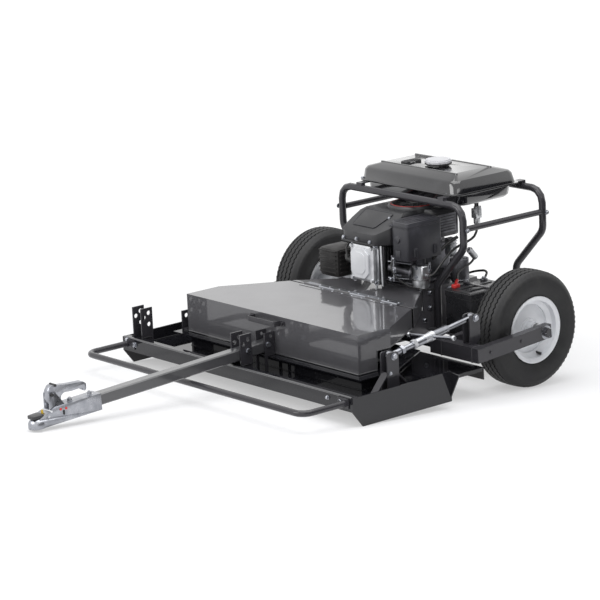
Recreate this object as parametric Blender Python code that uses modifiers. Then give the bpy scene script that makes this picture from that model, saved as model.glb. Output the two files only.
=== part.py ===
"""Tow-behind rotary mower with a ball coupler, standing on its two tyres and the front corners of its
side skirts.

Machine frame: X is the machine's left, -Y is the way it is towed, +Z is up, the wheels' ground line is
z = 0 and the wheel axle is the line y = 0, z = TYRE_R. Metres. The whole machine hangs on the empty "stance",
which pitches it nose down about the axle until the skirts touch the ground.
"""

import math

import bmesh
import bpy
from mathutils import Matrix, Vector

GAP = 0.0003  # air between pieces that touch
BITE = 0.002  # how far a welded piece reaches into the piece that it is welded to

# Wheels
TYRE_R = 0.206
TYRE_W = 0.122
TRACK_HALF = 0.5327
RIM_R = 0.118
BEAD_R = 0.107
HUB_R = 0.026
HUB_HALF = 0.056
PIN_R = 0.0125
HUB_RUN = 0.0006
WHEEL_STEPS = 24

# Deck
SHEET = 0.005
DECK_TOP = 0.114
DECK_HALF = 0.6205
DECK_FRONT = -0.879
SKIRT_REAR = -0.440
DECK_REAR = -0.222
REAR_HALF = DECK_HALF - 0.0655
TABLE_HALF = DECK_HALF - 0.1155
TABLE_FRONT = -0.741
TABLE_SHOULDER = -0.575
TABLE_REAR_HALF = 0.370
TABLE_REAR = -0.345
TABLE_TOP = 0.167
TABLE_LEDGE = 0.045
BEAM_TOP = 0.156
BEAM_LOW = 0.107
BEAM_FLANGE = 0.029
SKIRT_LOW = 0.053
SKIRT_TOE = -0.838
SKIRT_FACE_LOW = 0.105
SKIRT_SHEET = 0.0045
FLARE_OUT = 0.668
REAR_WALL_LOW = 0.070
REAR_SIDE_LOW = 0.100
BOSS_R = 0.036

# Brush bar
BRUSH_TUBE_R = 0.011
BRUSH_HALF = DECK_HALF - 0.0285
BRUSH_FRONT = -1.065
BRUSH_Z = 0.135
BRUSH_CORNER = 0.040
BRUSH_BOLT = BRUSH_HALF - 0.026

# Hitch brackets and tow bar
EAR_SHEET = 0.005
EAR_DEPTH = 0.050
EAR_TOP = 0.2635
EAR_FRONT = -0.860
EAR_HOLE_R = 0.008
EAR_HOLES = ((0.034, -0.019), (0.0135, -0.034), (0.034, -0.060))
OFFSET_X = 0.0555 - DECK_HALF
REAR_EAR_FRONT = -0.752
REAR_EAR_BACK = -0.708
REAR_EAR_TOP = 0.250
SIDE_EAR_FRONT = -0.703
SIDE_EAR_DEPTH = 0.048
SIDE_EAR_TOP = 0.235
SIDE_EAR_HOLE = (0.020, -0.019)
SIDE_EAR_FOOT = 0.030
BAR_SIZE = 0.040
BAR_WALL = 0.003
BAR_SLOPE = math.atan(0.050)
BAR_DROP = 0.009
BAR_REAR = 0.114
BAR_FRONT = -0.775
BAR_FIT = 0.0015
BOLT_R = 0.005
REAR_BOLT = 0.088

# Coupler
COUPLER_REAR = -0.626
COUPLER_WALL = 0.003
COUPLER_LOW = -0.033
COUPLER_BOLTS = (-0.655, -0.735)
SOCKET_Y = -0.872
SOCKET_R = 0.029
SOCKET_TOP = 0.003
BALL_R = 0.025
BALL_Z = -0.0262
LEVER_Y = -0.814
LEVER_Z = 0.066
LEVER_PIN_R = 0.004
CHEEK_IN = 0.013
JAW_Y = -0.838
JAW_Z = 0.0
JAW_PIN_R = 0.003

# Belt covers
LID_TOP = 0.305
LID_SHEET = 0.003
LID_HALF = 0.460
LID_FRONT = -0.706
LID_SHOULDER = -0.560
LID_REAR = -0.3385
LID_REAR_HALF = 0.325
LID_LOW = 0.1685
LID_NOTCH = -0.622
LID_NOTCH_Z = 0.235
REAR_COVER_FRONT = -0.330
REAR_COVER_LOW = 0.2325
REAR_COVER_HALF = 0.160
HINGE_Y = -0.3345
HINGE_Z = 0.3072
HINGE_R = 0.0035
HINGE_HALF = 0.250
REAR_COVER_END = -0.140
HANDLE_FEET = (-0.089, 0.073)
HANDLE_Z = 0.284
HANDLE_REACH = 0.032

# Belt drive
BELT_Z = 0.262
BELT_TALL = 0.012
CRANK_Y = -0.020
SPINDLE_X = 0.280
SPINDLE_Y = -0.548
SPINDLE_STEP = 0.025
SPINDLES = ((SPINDLE_X, SPINDLE_Y - SPINDLE_STEP), (-SPINDLE_X, SPINDLE_Y + SPINDLE_STEP))
BLADE_REACH = 0.278
BLADE_Z = 0.078
BLADE_THICK = 0.006
BLADE_WIDTH = 0.062
SAIL_CLEAR = 0.008
GROOVE = 0.010
BELT_THICK = 0.008
IDLER_X = 0.231
IDLER_Y = -0.291
IDLER_POST_X = 0.130
IDLER_POST_Y = -0.385
CRANK_PULLEY_R = 0.058
SPINDLE_PULLEY_R = 0.066
IDLER_R = 0.034
IDLER_ARM_Z = BELT_Z - BELT_TALL / 2 - 0.018
SPINDLE_R = 0.0125

# Axle frame and height adjuster
PIVOT_Y = -0.301
PIVOT_Z = 0.186
SHAFT_R = 0.015
SHAFT_RUN = 0.0006
CROSS_SIZE = 0.050
CROSS_IN = 0.400
ARM_OUT = 0.637
ARM_THICK = 0.030
INNER_ARM = (0.430, 0.455)
ARM_END = 0.025
TUBE_WALL = 0.003
LINK_X = DECK_HALF - 0.0655
LINK_FRONT_Y = -0.647
LINK_FRONT_Z = 0.242
LINK_REAR_Y = -0.272
LINK_REAR_Z = 0.300
LEVER_Y_AT = LINK_REAR_Y - PIVOT_Y
LEVER_Z_AT = LINK_REAR_Z - PIVOT_Z
WHEEL_Y = -PIVOT_Y
WHEEL_Z = TYRE_R - PIVOT_Z
LINK_LENGTH = math.hypot(LINK_REAR_Y - LINK_FRONT_Y, LINK_REAR_Z - LINK_FRONT_Z)
LINK_TILT = math.atan2(LINK_REAR_Z - LINK_FRONT_Z, LINK_REAR_Y - LINK_FRONT_Y)
LINK_PIN_R = 0.006
ROD_R = 0.009
LINK_R = 0.0145
LINK_BODY = (0.100, 0.264)
NUT_AT = 0.046
TOMMY_AT = 0.187
TOMMY_HALF = 0.122
TOMMY_R = 0.006
TOMMY_TILT = math.radians(7)
LEVER_SHEET = 0.005
EYE_R = 0.014
EYE_HALF = 0.009
BRACE_TOP = 0.186

# Stand, cage and tank
STAND_IN = 0.155
STAND_SHEET = 0.006
STAND_FRONT = -0.520
STAND_REAR = 0.325
STAND_TOP = 0.300
STAND_LOW = 0.140
STAND_SHOULDER = 0.232
STAND_NECK = -0.135
CAGE_R = 0.0135
HOOP_FRONT = -0.0787
HOOP_REAR = 0.3093
HOOP_FOOT = 0.150
HOOP_KNEE_LOW = 0.320
HOOP_KNEE_HIGH = 0.4675
HOOP_NARROW = 0.1776
HOOP_WIDE = 0.3192
HOOP_TOP = 0.6168
HOOP_CORNER = 0.050
SIDE_TUBE_R = 0.011
SIDE_TUBE_Z = 0.5358
TANK_HALF = 0.262
TANK_FRONT = -0.055
TANK_REAR = 0.270
TAB_RISE = 0.0222
TAB_X = 0.215
SEAM_Z = HOOP_TOP + TAB_RISE
SEAM_THICK = 0.006
TANK_DEPTH = 0.042
TANK_RISE = 0.051
TANK_LOW = SEAM_Z - TANK_DEPTH
TANK_SHOULDER = SEAM_Z + TANK_RISE
TANK_CROWN = TANK_SHOULDER + 0.015
CAP_X = 0.030
CAP_Y = 0.080
CAP_R = 0.046
CAP_TOP = TANK_CROWN + 0.025
GAUGE_X = -0.085
GAUGE_Y = 0.050
TAP_X = 0.190
TAP_Y = 0.110
TAP_Z = TANK_LOW - 0.037

# Engine and battery
ENGINE_FLOOR = 0.3083
HEAD_X = -0.0275
HEAD_Y = -0.2245
HEAD_Z = 0.3985
STARTER_X = 0.172
STARTER_Y = 0.035
STARTER_R = 0.034
CARB_X = 0.150
CARB_Y = -0.130
BATTERY_X = 0.255
BATTERY_W = 0.130
BATTERY_FRONT = -0.115
BATTERY_REAR = 0.082
BATTERY_LOW = 0.1653
BATTERY_TOP = 0.335


def clear_scene():
    for old in list(bpy.data.objects):
        bpy.data.objects.remove(old, do_unlink=True)


def new_collection(name, hidden=False):
    group = bpy.data.collections.new(name)
    bpy.context.scene.collection.children.link(group)
    group.hide_render = hidden
    return group


clear_scene()
PARTS = new_collection("tow_behind_mower")
HELPERS = new_collection("construction", hidden=True)


def material(name, rgb, rough, metal=0.0):
    found = bpy.data.materials.new(name)
    found.use_nodes = True
    shader = found.node_tree.nodes["Principled BSDF"]
    shader.inputs["Base Color"].default_value = (*rgb, 1.0)
    shader.inputs["Roughness"].default_value = rough
    shader.inputs["Metallic"].default_value = metal
    found.diffuse_color = (*rgb, 1.0)
    return found


def empty(name, place=(0, 0, 0), parent=None, turn=(0, 0, 0)):
    mark = bpy.data.objects.new(name, None)
    mark.empty_display_size = 0.03
    mark.location = place
    mark.rotation_euler = turn
    mark.parent = parent
    PARTS.objects.link(mark)
    return mark


def helper(name, mesh):
    """A hidden piece of construction, in the same frame as the part that it is used on."""
    raw = bpy.data.objects.new(name, mesh)
    raw.hide_render = True
    raw.display_type = "WIRE"
    HELPERS.objects.link(raw)
    return raw


def from_bmesh(name, shape):
    bmesh.ops.recalc_face_normals(shape, faces=shape.faces)
    mesh = bpy.data.meshes.new(name)
    shape.to_mesh(mesh)
    shape.free()
    return helper(name, mesh)


def box(x, y, z, bevel=0.0, segments=2):
    """A block from its three ranges."""
    shape = bmesh.new()
    bmesh.ops.create_cube(shape, size=1.0)
    size = Matrix.Diagonal((x[1] - x[0], y[1] - y[0], z[1] - z[0], 1.0))
    middle = Matrix.Translation(((x[0] + x[1]) / 2, (y[0] + y[1]) / 2, (z[0] + z[1]) / 2))
    bmesh.ops.transform(shape, matrix=middle @ size, verts=shape.verts)
    if bevel:
        bmesh.ops.bevel(shape, geom=list(shape.edges), offset=bevel, segments=segments, profile=0.5,
                        affect="EDGES", material=-1)
    return from_bmesh("box", shape)


def rod(start, end, radius, sides=12):
    """A round bar between two points."""
    start = Vector(start)
    end = Vector(end)
    along = end - start
    shape = bmesh.new()
    bmesh.ops.create_cone(shape, cap_ends=True, segments=sides, radius1=radius, radius2=radius,
                          depth=along.length)
    turn = along.to_track_quat("Z", "Y").to_matrix().to_4x4()
    bmesh.ops.transform(shape, matrix=Matrix.Translation((start + end) / 2) @ turn, verts=shape.verts)
    return from_bmesh("rod", shape)


def bore(start, end, radius, sides=12):
    """A cutter whose flats lie outside the given radius, so that a round piece of that radius passes."""
    return rod(start, end, radius / math.cos(math.pi / sides), sides=sides)


def circle(u, v, radius, sides=12):
    """A hole that a round piece of the given radius passes."""
    radius /= math.cos(math.pi / sides)
    return [(u + radius * math.cos(math.tau * i / sides), v + radius * math.sin(math.tau * i / sides))
            for i in range(sides)]


def rounded(points, radius, steps=4, closed=True):
    """The polyline through the points with each corner turned into an arc; radius is one value or one
    per corner."""
    points = [Vector(point) for point in points]
    radii = radius if isinstance(radius, (list, tuple)) else [radius] * len(points)
    path = []
    for i, corner in enumerate(points):
        at_end = not closed and i in (0, len(points) - 1)
        if at_end or radii[i] <= 0:
            path.append(corner)
            continue
        before = (points[i - 1] - corner).normalized()
        after = (points[(i + 1) % len(points)] - corner).normalized()
        angle = before.angle(after)
        reach = radii[i] / math.tan(angle / 2)
        middle = corner + (before + after).normalized() * (radii[i] / math.sin(angle / 2))
        first = corner + before * reach - middle
        last = corner + after * reach - middle
        sweep = first.angle(last)
        for step in range(steps + 1):
            part = step / steps
            path.append(middle + (first * math.sin((1 - part) * sweep) + last * math.sin(part * sweep))
                        / math.sin(sweep))
    return path


def baked(name, data, matrix=None):
    """The evaluated curve or modified mesh as a plain closed mesh, moved by the matrix."""
    guide = data if isinstance(data, bpy.types.Object) else bpy.data.objects.new(name, data)
    HELPERS.objects.link(guide)
    bpy.context.view_layer.update()
    evaluated = guide.evaluated_get(bpy.context.evaluated_depsgraph_get())
    mesh = bpy.data.meshes.new_from_object(evaluated)
    shape = bmesh.new()
    shape.from_mesh(mesh)
    bmesh.ops.remove_doubles(shape, verts=shape.verts, dist=0.00001)
    bmesh.ops.dissolve_degenerate(shape, edges=shape.edges, dist=0.00001)
    bmesh.ops.transform(shape, matrix=matrix or Matrix.Identity(4), verts=shape.verts)
    bmesh.ops.recalc_face_normals(shape, faces=shape.faces)
    shape.to_mesh(mesh)
    shape.free()
    bpy.data.objects.remove(guide)
    return helper(name, mesh)


PLANES = {
    "X": Matrix(((0, 0, 1, 0), (1, 0, 0, 0), (0, 1, 0, 0), (0, 0, 0, 1))),
    "Y": Matrix(((1, 0, 0, 0), (0, 0, -1, 0), (0, 1, 0, 0), (0, 0, 0, 1))),
    "Z": Matrix.Identity(4),
}


def plate(axis, span, outline, holes=()):
    """A flat outline given thickness along one axis. It is drawn in (y, z) for X, (x, z) for Y and (x,
    y) for Z."""
    data = bpy.data.curves.new("plate", "CURVE")
    data.dimensions = "2D"
    data.fill_mode = "BOTH"
    data.extrude = (span[1] - span[0]) / 2
    for ring in (outline, *holes):
        spline = data.splines.new("POLY")
        spline.points.add(len(ring) - 1)
        spline.use_cyclic_u = True
        for point, (u, v, *_) in zip(spline.points, ring):
            point.co = (u, v, 0, 1)
    middle = (span[0] + span[1]) / 2
    shift = Matrix.Translation([middle if name == axis else 0 for name in "XYZ"])
    return baked("plate", data, shift @ PLANES[axis])


def tube(points, radius, resolution=2):
    """A round tube or bar along a route."""
    data = bpy.data.curves.new("tube", "CURVE")
    data.dimensions = "3D"
    data.bevel_depth = radius
    data.bevel_resolution = resolution
    data.use_fill_caps = True
    spline = data.splines.new("POLY")
    spline.points.add(len(points) - 1)
    for point, place in zip(spline.points, points):
        point.co = (*place, 1)
    return baked("tube", data)


TURNS = {
    "X": Matrix.Rotation(math.pi / 2, 4, "Y"),
    "Y": Matrix.Rotation(-math.pi / 2, 4, "X"),
    "Z": Matrix.Identity(4),
}


def turned(profile, centre=(0, 0, 0), axis="Z", steps=16):
    """A turned solid: (radius, height) points run down the outer side. A profile whose ends meet makes a
    ring."""
    ring = profile[0] == profile[-1]
    points = profile[:-1] if ring else profile
    edges = [(i, i + 1) for i in range(len(points) - 1)]
    if ring:
        edges.append((len(points) - 1, 0))
    mesh = bpy.data.meshes.new("profile")
    mesh.from_pydata([(r, 0, z) for r, z in points], edges, [])
    guide = bpy.data.objects.new("profile", mesh)
    screw = guide.modifiers.new("turn", "SCREW")
    screw.steps = steps
    screw.render_steps = steps
    screw.use_merge_vertices = True
    screw.merge_threshold = 0.00001
    return baked("turned", guide, Matrix.Translation(centre) @ TURNS[axis])


def loft(rings):
    """A closed skin through rings of equally many points, for forms whose sections differ."""
    shape = bmesh.new()
    loops = [[shape.verts.new(place) for place in ring] for ring in rings]
    for one, two in zip(loops, loops[1:]):
        for i in range(len(one)):
            j = (i + 1) % len(one)
            shape.faces.new((one[i], one[j], two[j], two[i]))
    shape.faces.new(loops[0])
    shape.faces.new(loops[-1])
    return from_bmesh("loft", shape)


def gathered(solids):
    """Several pieces that don't touch one another as one helper, for one Boolean."""
    shape = bmesh.new()
    for solid in solids:
        shape.from_mesh(solid.data)
        bpy.data.objects.remove(solid)
    return from_bmesh("gathered", shape)


def moved(solid, shift=(0, 0, 0), turn=0.0, axis="Z"):
    """A copy of the piece, turned about its frame's axis and then shifted."""
    shape = bmesh.new()
    shape.from_mesh(solid.data)
    place = Matrix.Translation(shift) @ Matrix.Rotation(turn, 4, axis)
    bmesh.ops.transform(shape, matrix=place, verts=shape.verts)
    return from_bmesh("moved", shape)


def node(name, parent, look, solids, cuts=(), added=(), at=(0, 0, 0), turn=(0, 0, 0)):
    """One named part: its first solid, joined with the others, less the cuts, and then joined with what
    is added."""
    base = solids[0]
    part = bpy.data.objects.new(name, base.data)
    part.parent = parent
    part.location = at
    part.rotation_euler = turn
    PARTS.objects.link(part)
    for operation, pieces in (("UNION", solids[1:]), ("DIFFERENCE", cuts), ("UNION", added)):
        for piece in pieces:
            piece.parent = parent
            piece.location = at
            piece.rotation_euler = turn
            change = part.modifiers.new(operation.lower(), "BOOLEAN")
            change.operation = operation
            change.solver = "EXACT"
            change.object = piece
    bpy.data.objects.remove(base)
    part.data.name = name
    part.data.materials.clear()
    part.data.materials.append(look)
    part.data.shade_smooth()
    part.data.set_sharp_from_angle(angle=math.radians(32))
    return part


BLACK = material("black_paint", (0.010, 0.010, 0.011), 0.32)
FRAME_BLACK = material("frame_black", (0.014, 0.014, 0.015), 0.42)
ZINC = material("zinc_plate", (0.62, 0.63, 0.65), 0.32, 0.9)
DARK_STEEL = material("dark_steel", (0.10, 0.10, 0.11), 0.45, 0.9)
RUBBER = material("tyre_rubber", (0.018, 0.018, 0.019), 0.85)
RIM_GREY = material("rim_grey", (0.62, 0.63, 0.66), 0.35, 0.4)
PLASTIC = material("black_plastic", (0.016, 0.016, 0.018), 0.5)
CAST = material("cast_aluminium", (0.55, 0.56, 0.58), 0.42, 0.85)
RED = material("red_ring", (0.45, 0.01, 0.01), 0.4)
TANK_BLACK = material("tank_black", (0.012, 0.012, 0.013), 0.28)


def nose_down():
    """The pitch that sets the skirts' front corners on the ground, turning about the axle."""
    reach = math.hypot(SKIRT_TOE, SKIRT_LOW - TYRE_R)
    return math.asin(TYRE_R / reach) - math.atan2(TYRE_R - SKIRT_LOW, -SKIRT_TOE)


def pitched_y(y, z):
    return y * math.cos(PITCH) - (z - TYRE_R) * math.sin(PITCH)


BOLT_Y = EAR_FRONT + EAR_HOLES[2][0]
BOLT_Z = EAR_TOP + EAR_HOLES[2][1]
PITCH = nose_down()
NOSE_Y = BOLT_Y + (SOCKET_Y - SOCKET_R) * math.cos(BAR_SLOPE)
NOSE_Z = BOLT_Z + (SOCKET_Y - SOCKET_R) * math.sin(BAR_SLOPE) + COUPLER_LOW
BACK = pitched_y(HOOP_REAR + CAGE_R, HOOP_FOOT)
STANCE_Y = -(pitched_y(NOSE_Y, NOSE_Z) + BACK) / 2
TOMMY_TIP = LINK_X + TOMMY_HALF * math.cos(TOMMY_TILT) + TOMMY_R * math.sin(TOMMY_TILT)
STANCE_X = (FLARE_OUT - TOMMY_TIP) / 2

stance = empty("stance", (STANCE_X, STANCE_Y, TYRE_R), None, (PITCH, 0, 0))
machine = empty("machine", (0, 0, -TYRE_R), stance)


def inset(outline, depth):
    """The convex outline with every side moved inward."""
    count = len(outline)
    area = sum(outline[i - 1][0] * outline[i][1] - outline[i][0] * outline[i - 1][1] for i in range(count))
    sense = 1 if area > 0 else -1
    sides = []
    for i in range(count):
        one = Vector(outline[i])
        along = (Vector(outline[(i + 1) % count]) - one).normalized()
        sides.append((one + Vector((-along.y, along.x)) * depth * sense, along))
    corners = []
    for i in range(count):
        (p, u), (q, v) = sides[i - 1], sides[i]
        across = u.x * v.y - u.y * v.x
        corners.append(p + u * (((q - p).x * v.y - (q - p).y * v.x) / across))
    return corners


def deck():
    floor = plate("Z", (DECK_TOP - SHEET, DECK_TOP), [
        (-DECK_HALF + GAP, DECK_FRONT + SHEET + GAP), (DECK_HALF - GAP, DECK_FRONT + SHEET + GAP),
        (DECK_HALF - GAP, SKIRT_REAR), (REAR_HALF, SKIRT_REAR), (REAR_HALF, DECK_REAR),
        (-REAR_HALF, DECK_REAR), (-REAR_HALF, SKIRT_REAR), (-DECK_HALF + GAP, SKIRT_REAR)])
    table = [(TABLE_HALF, TABLE_FRONT), (TABLE_HALF, TABLE_SHOULDER), (TABLE_REAR_HALF, TABLE_REAR)]
    table += [(-x, y) for x, y in reversed(table)]
    top = plate("Z", (TABLE_TOP - SHEET, TABLE_TOP), table)
    wall = [(TABLE_HALF - TABLE_LEDGE, TABLE_FRONT + TABLE_LEDGE), (TABLE_HALF - TABLE_LEDGE, TABLE_SHOULDER),
            (TABLE_REAR_HALF - TABLE_LEDGE, TABLE_REAR - BITE)]
    wall += [(-x, y) for x, y in reversed(wall)]
    walls = plate("Z", (DECK_TOP + GAP, TABLE_TOP - BITE), wall)
    tunnel = plate("Z", (DECK_TOP - BITE, TABLE_TOP - SHEET), inset(wall, SHEET))
    mouth = plate("Z", (REAR_WALL_LOW, DECK_TOP + BITE), inset(wall, SHEET))
    post = rod((IDLER_POST_X, IDLER_POST_Y, TABLE_TOP - BITE),
               (IDLER_POST_X, IDLER_POST_Y, IDLER_ARM_Z - GAP), 0.012)
    pin = rod((IDLER_POST_X, IDLER_POST_Y, TABLE_TOP), (IDLER_POST_X, IDLER_POST_Y, IDLER_ARM_Z + 0.012),
              0.006)
    sides = gathered([
        box(side, (SKIRT_REAR + BITE, DECK_REAR - SHEET - BITE), (REAR_SIDE_LOW, DECK_TOP - BITE))
        for side in ((REAR_HALF - SHEET, REAR_HALF), (-REAR_HALF, -REAR_HALF + SHEET))])
    rear = box((-REAR_HALF, REAR_HALF), (DECK_REAR - SHEET, DECK_REAR), (REAR_WALL_LOW, DECK_TOP - BITE))
    bosses = gathered([bore((x, y, DECK_TOP), (x, y, TABLE_TOP + SHEET), BOSS_R + GAP) for x, y in SPINDLES])
    node("deck_shell", machine, BLACK, [floor, sides, rear], [mouth])
    node("deck_table", machine, BLACK, [walls, top], [tunnel, bosses], [post, pin])
    back = DECK_FRONT + BEAM_FLANGE
    beam = plate("X", (-DECK_HALF + GAP, DECK_HALF - GAP), [
        (DECK_FRONT, BEAM_LOW), (DECK_FRONT + SHEET, BEAM_LOW), (DECK_FRONT + SHEET,
                                                                 BEAM_TOP - SHEET + 0.001),
        (back, BEAM_TOP - SHEET + 0.001), (back, BEAM_TOP), (DECK_FRONT, BEAM_TOP)])
    holes = gathered([bore((x, DECK_FRONT - SHEET, BRUSH_Z), (x, DECK_FRONT + 2 * SHEET, BRUSH_Z),
                           BOLT_R + GAP)
                      for x in (BRUSH_BOLT, -BRUSH_BOLT)])
    node("front_beam", machine, BLACK, [beam], [holes])


def skirt(name, side):
    face = plate("X", sorted((side * DECK_HALF, side * (DECK_HALF + SKIRT_SHEET))), [
        (DECK_FRONT, BEAM_TOP), (DECK_FRONT, SKIRT_FACE_LOW), (SKIRT_TOE, SKIRT_LOW),
        (SKIRT_REAR, SKIRT_LOW), (SKIRT_REAR, BEAM_TOP + BITE)])
    root = side * (DECK_HALF + BITE)
    flare = plate("Y", (SKIRT_REAR - SHEET, SKIRT_REAR - GAP), [
        (root, BEAM_TOP), (side * FLARE_OUT, BEAM_TOP - 0.006), (root, SKIRT_LOW + 0.010)])
    node(name, machine, BLACK, [face, flare])


def brush_bar():
    back = DECK_FRONT - GAP
    route = rounded([
        (BRUSH_HALF, back - 0.002, BRUSH_Z), (BRUSH_HALF, BRUSH_FRONT, BRUSH_Z),
        (-BRUSH_HALF, BRUSH_FRONT, BRUSH_Z), (-BRUSH_HALF, back - 0.002,
                                              BRUSH_Z)], BRUSH_CORNER, 5, closed=False)
    lugs = []
    bolts = []
    for side in (1, -1):
        edge = sorted((side * (BRUSH_BOLT - 0.013), side * (BRUSH_HALF + BRUSH_TUBE_R + 0.003)))
        lugs.append(box(edge, (back - 0.004, back), (BRUSH_Z - 0.017, BRUSH_Z + 0.017)))
        x = side * BRUSH_BOLT
        bolts.append(rod((x, back - 0.010, BRUSH_Z), (x, back - 0.003, BRUSH_Z), 0.0085, sides=6))
        bolts.append(rod((x, back - 0.0045, BRUSH_Z), (x, back + SHEET + 0.012, BRUSH_Z), BOLT_R))
    node("brush_bar", machine, FRAME_BLACK, [tube(route, BRUSH_TUBE_R, 3), gathered(lugs),
                                             gathered(bolts[0::2]), gathered(bolts[1::2])])


def hitch_bracket(name, x, outline, strap, holes):
    """Two ears joined by a strap on the deck."""
    inner = BAR_SIZE / 2 + BAR_FIT
    ears = [plate("X", (x + side * inner - (EAR_SHEET if side < 0 else 0),
                        x + side * inner + (EAR_SHEET if side > 0 else 0)), outline) for side in (1, -1)]
    cuts = [bore((x - 0.04, y, z), (x + 0.04, y, z), radius) for y, z, radius in holes]
    node(name, machine, FRAME_BLACK, [ears[0], box((x - inner - BITE, x + inner + BITE), *strap), ears[1]],
         [gathered(cuts)])


def hitch_brackets():
    floor = DECK_TOP + GAP
    shelf = DECK_FRONT + BEAM_FLANGE + GAP
    for name, x, front in (("centre", 0, EAR_FRONT), ("offset", OFFSET_X, EAR_FRONT + 0.005)):
        outline = [(front, BEAM_TOP + GAP), (front, EAR_TOP), (front + EAR_DEPTH, EAR_TOP),
                   (front + EAR_DEPTH, floor), (shelf, floor), (shelf, BEAM_TOP + GAP)]
        holes = [(front + y, EAR_TOP + z, EAR_HOLE_R) for y, z in EAR_HOLES[:2]]
        last = BOLT_R + GAP if name == "centre" else EAR_HOLE_R
        holes.append((front + EAR_HOLES[2][0], EAR_TOP + EAR_HOLES[2][1], last))
        strap = ((shelf + 0.003, front + EAR_DEPTH - 0.003), (floor, floor + EAR_SHEET))
        hitch_bracket("hitch_bracket_front_" + name, x, outline, strap, holes)
    top = TABLE_TOP + GAP
    step = TABLE_FRONT - GAP
    outline = [(REAR_EAR_FRONT, floor), (REAR_EAR_FRONT, REAR_EAR_TOP), (REAR_EAR_BACK, REAR_EAR_TOP),
               (REAR_EAR_BACK, top), (step, top), (step, floor)]
    bolt_y = BOLT_Y + REAR_BOLT * math.cos(BAR_SLOPE)
    bolt_z = BOLT_Z + REAR_BOLT * math.sin(BAR_SLOPE)
    high = (REAR_EAR_FRONT + 0.027, REAR_EAR_TOP - 0.014, EAR_HOLE_R * 0.8)
    strap = ((step + 0.003, REAR_EAR_BACK - 0.003), (top, top + EAR_SHEET))
    hitch_bracket("hitch_bracket_rear_centre", 0, outline, strap, [(bolt_y, bolt_z, BOLT_R + GAP), high])
    side_hitch_ear(top)


def side_hitch_ear(top):
    """A single angle on the table's right ledge, beside the lid."""
    edge = BITE - TABLE_HALF
    back = SIDE_EAR_FRONT + SIDE_EAR_DEPTH
    hole = circle(SIDE_EAR_FRONT + SIDE_EAR_HOLE[0], SIDE_EAR_TOP + SIDE_EAR_HOLE[1], EAR_HOLE_R)
    ear = plate("X", (edge, edge + EAR_SHEET), [
        (SIDE_EAR_FRONT, top), (SIDE_EAR_FRONT, SIDE_EAR_TOP), (back, SIDE_EAR_TOP), (back, top)], [hole])
    foot = box((edge + EAR_SHEET - BITE, edge + SIDE_EAR_FOOT), (SIDE_EAR_FRONT + 0.003, back - 0.003),
               (top, top + EAR_SHEET))
    node("hitch_bracket_rear_offset", machine, FRAME_BLACK, [ear, foot])


hitch = empty("hitch", (0, BOLT_Y, BOLT_Z), machine, (BAR_SLOPE, 0, 0))
bar = empty("bar", (0, 0, -BAR_DROP), hitch)
coupler_lever = empty("coupler_lever", (0, LEVER_Y, LEVER_Z), bar)
coupler_clamp = empty("coupler_clamp", (0, JAW_Y, JAW_Z), bar)


def cross_bolt(name, y):
    """A bolt across the hitch ears, with its head on the left and its nut on the right."""
    face = BAR_SIZE / 2 + BAR_FIT + EAR_SHEET + GAP
    shank = rod((-face - 0.011, y, 0), (face + 0.002, y, 0), BOLT_R)
    washer = rod((face, y, 0), (face + 0.0015, y, 0), 0.0105)
    head = rod((face + 0.001, y, 0), (face + 0.0075, y, 0), 0.0092, sides=6)
    nut = rod((-face - 0.008, y, 0), (-face, y, 0), 0.0092, sides=6)
    node(name, hitch, ZINC, [shank, washer, head, nut])


def tow_bar():
    half = BAR_SIZE / 2
    inner = half - BAR_WALL
    ring = rounded([(-half, -half, 0), (half, -half, 0), (half, half, 0), (-half, half, 0)], 0.004, 1)
    inside = [(-inner, -inner), (inner, -inner), (inner, inner), (-inner, inner)]
    shape = plate("Y", (BAR_FRONT, BAR_REAR), ring, [inside])
    across = [bore((-half - 0.01, y, BAR_DROP), (half + 0.01, y, BAR_DROP), BOLT_R + GAP)
              for y in (0, REAR_BOLT)]
    down = [bore((0, y, -half - 0.01), (0, y, half + 0.01), BOLT_R + GAP) for y in COUPLER_BOLTS]
    node("tow_bar", bar, BLACK, [shape], [gathered(across + down)])
    cross_bolt("tow_bar_bolt_front", 0)
    cross_bolt("tow_bar_bolt_rear", REAR_BOLT)


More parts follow.
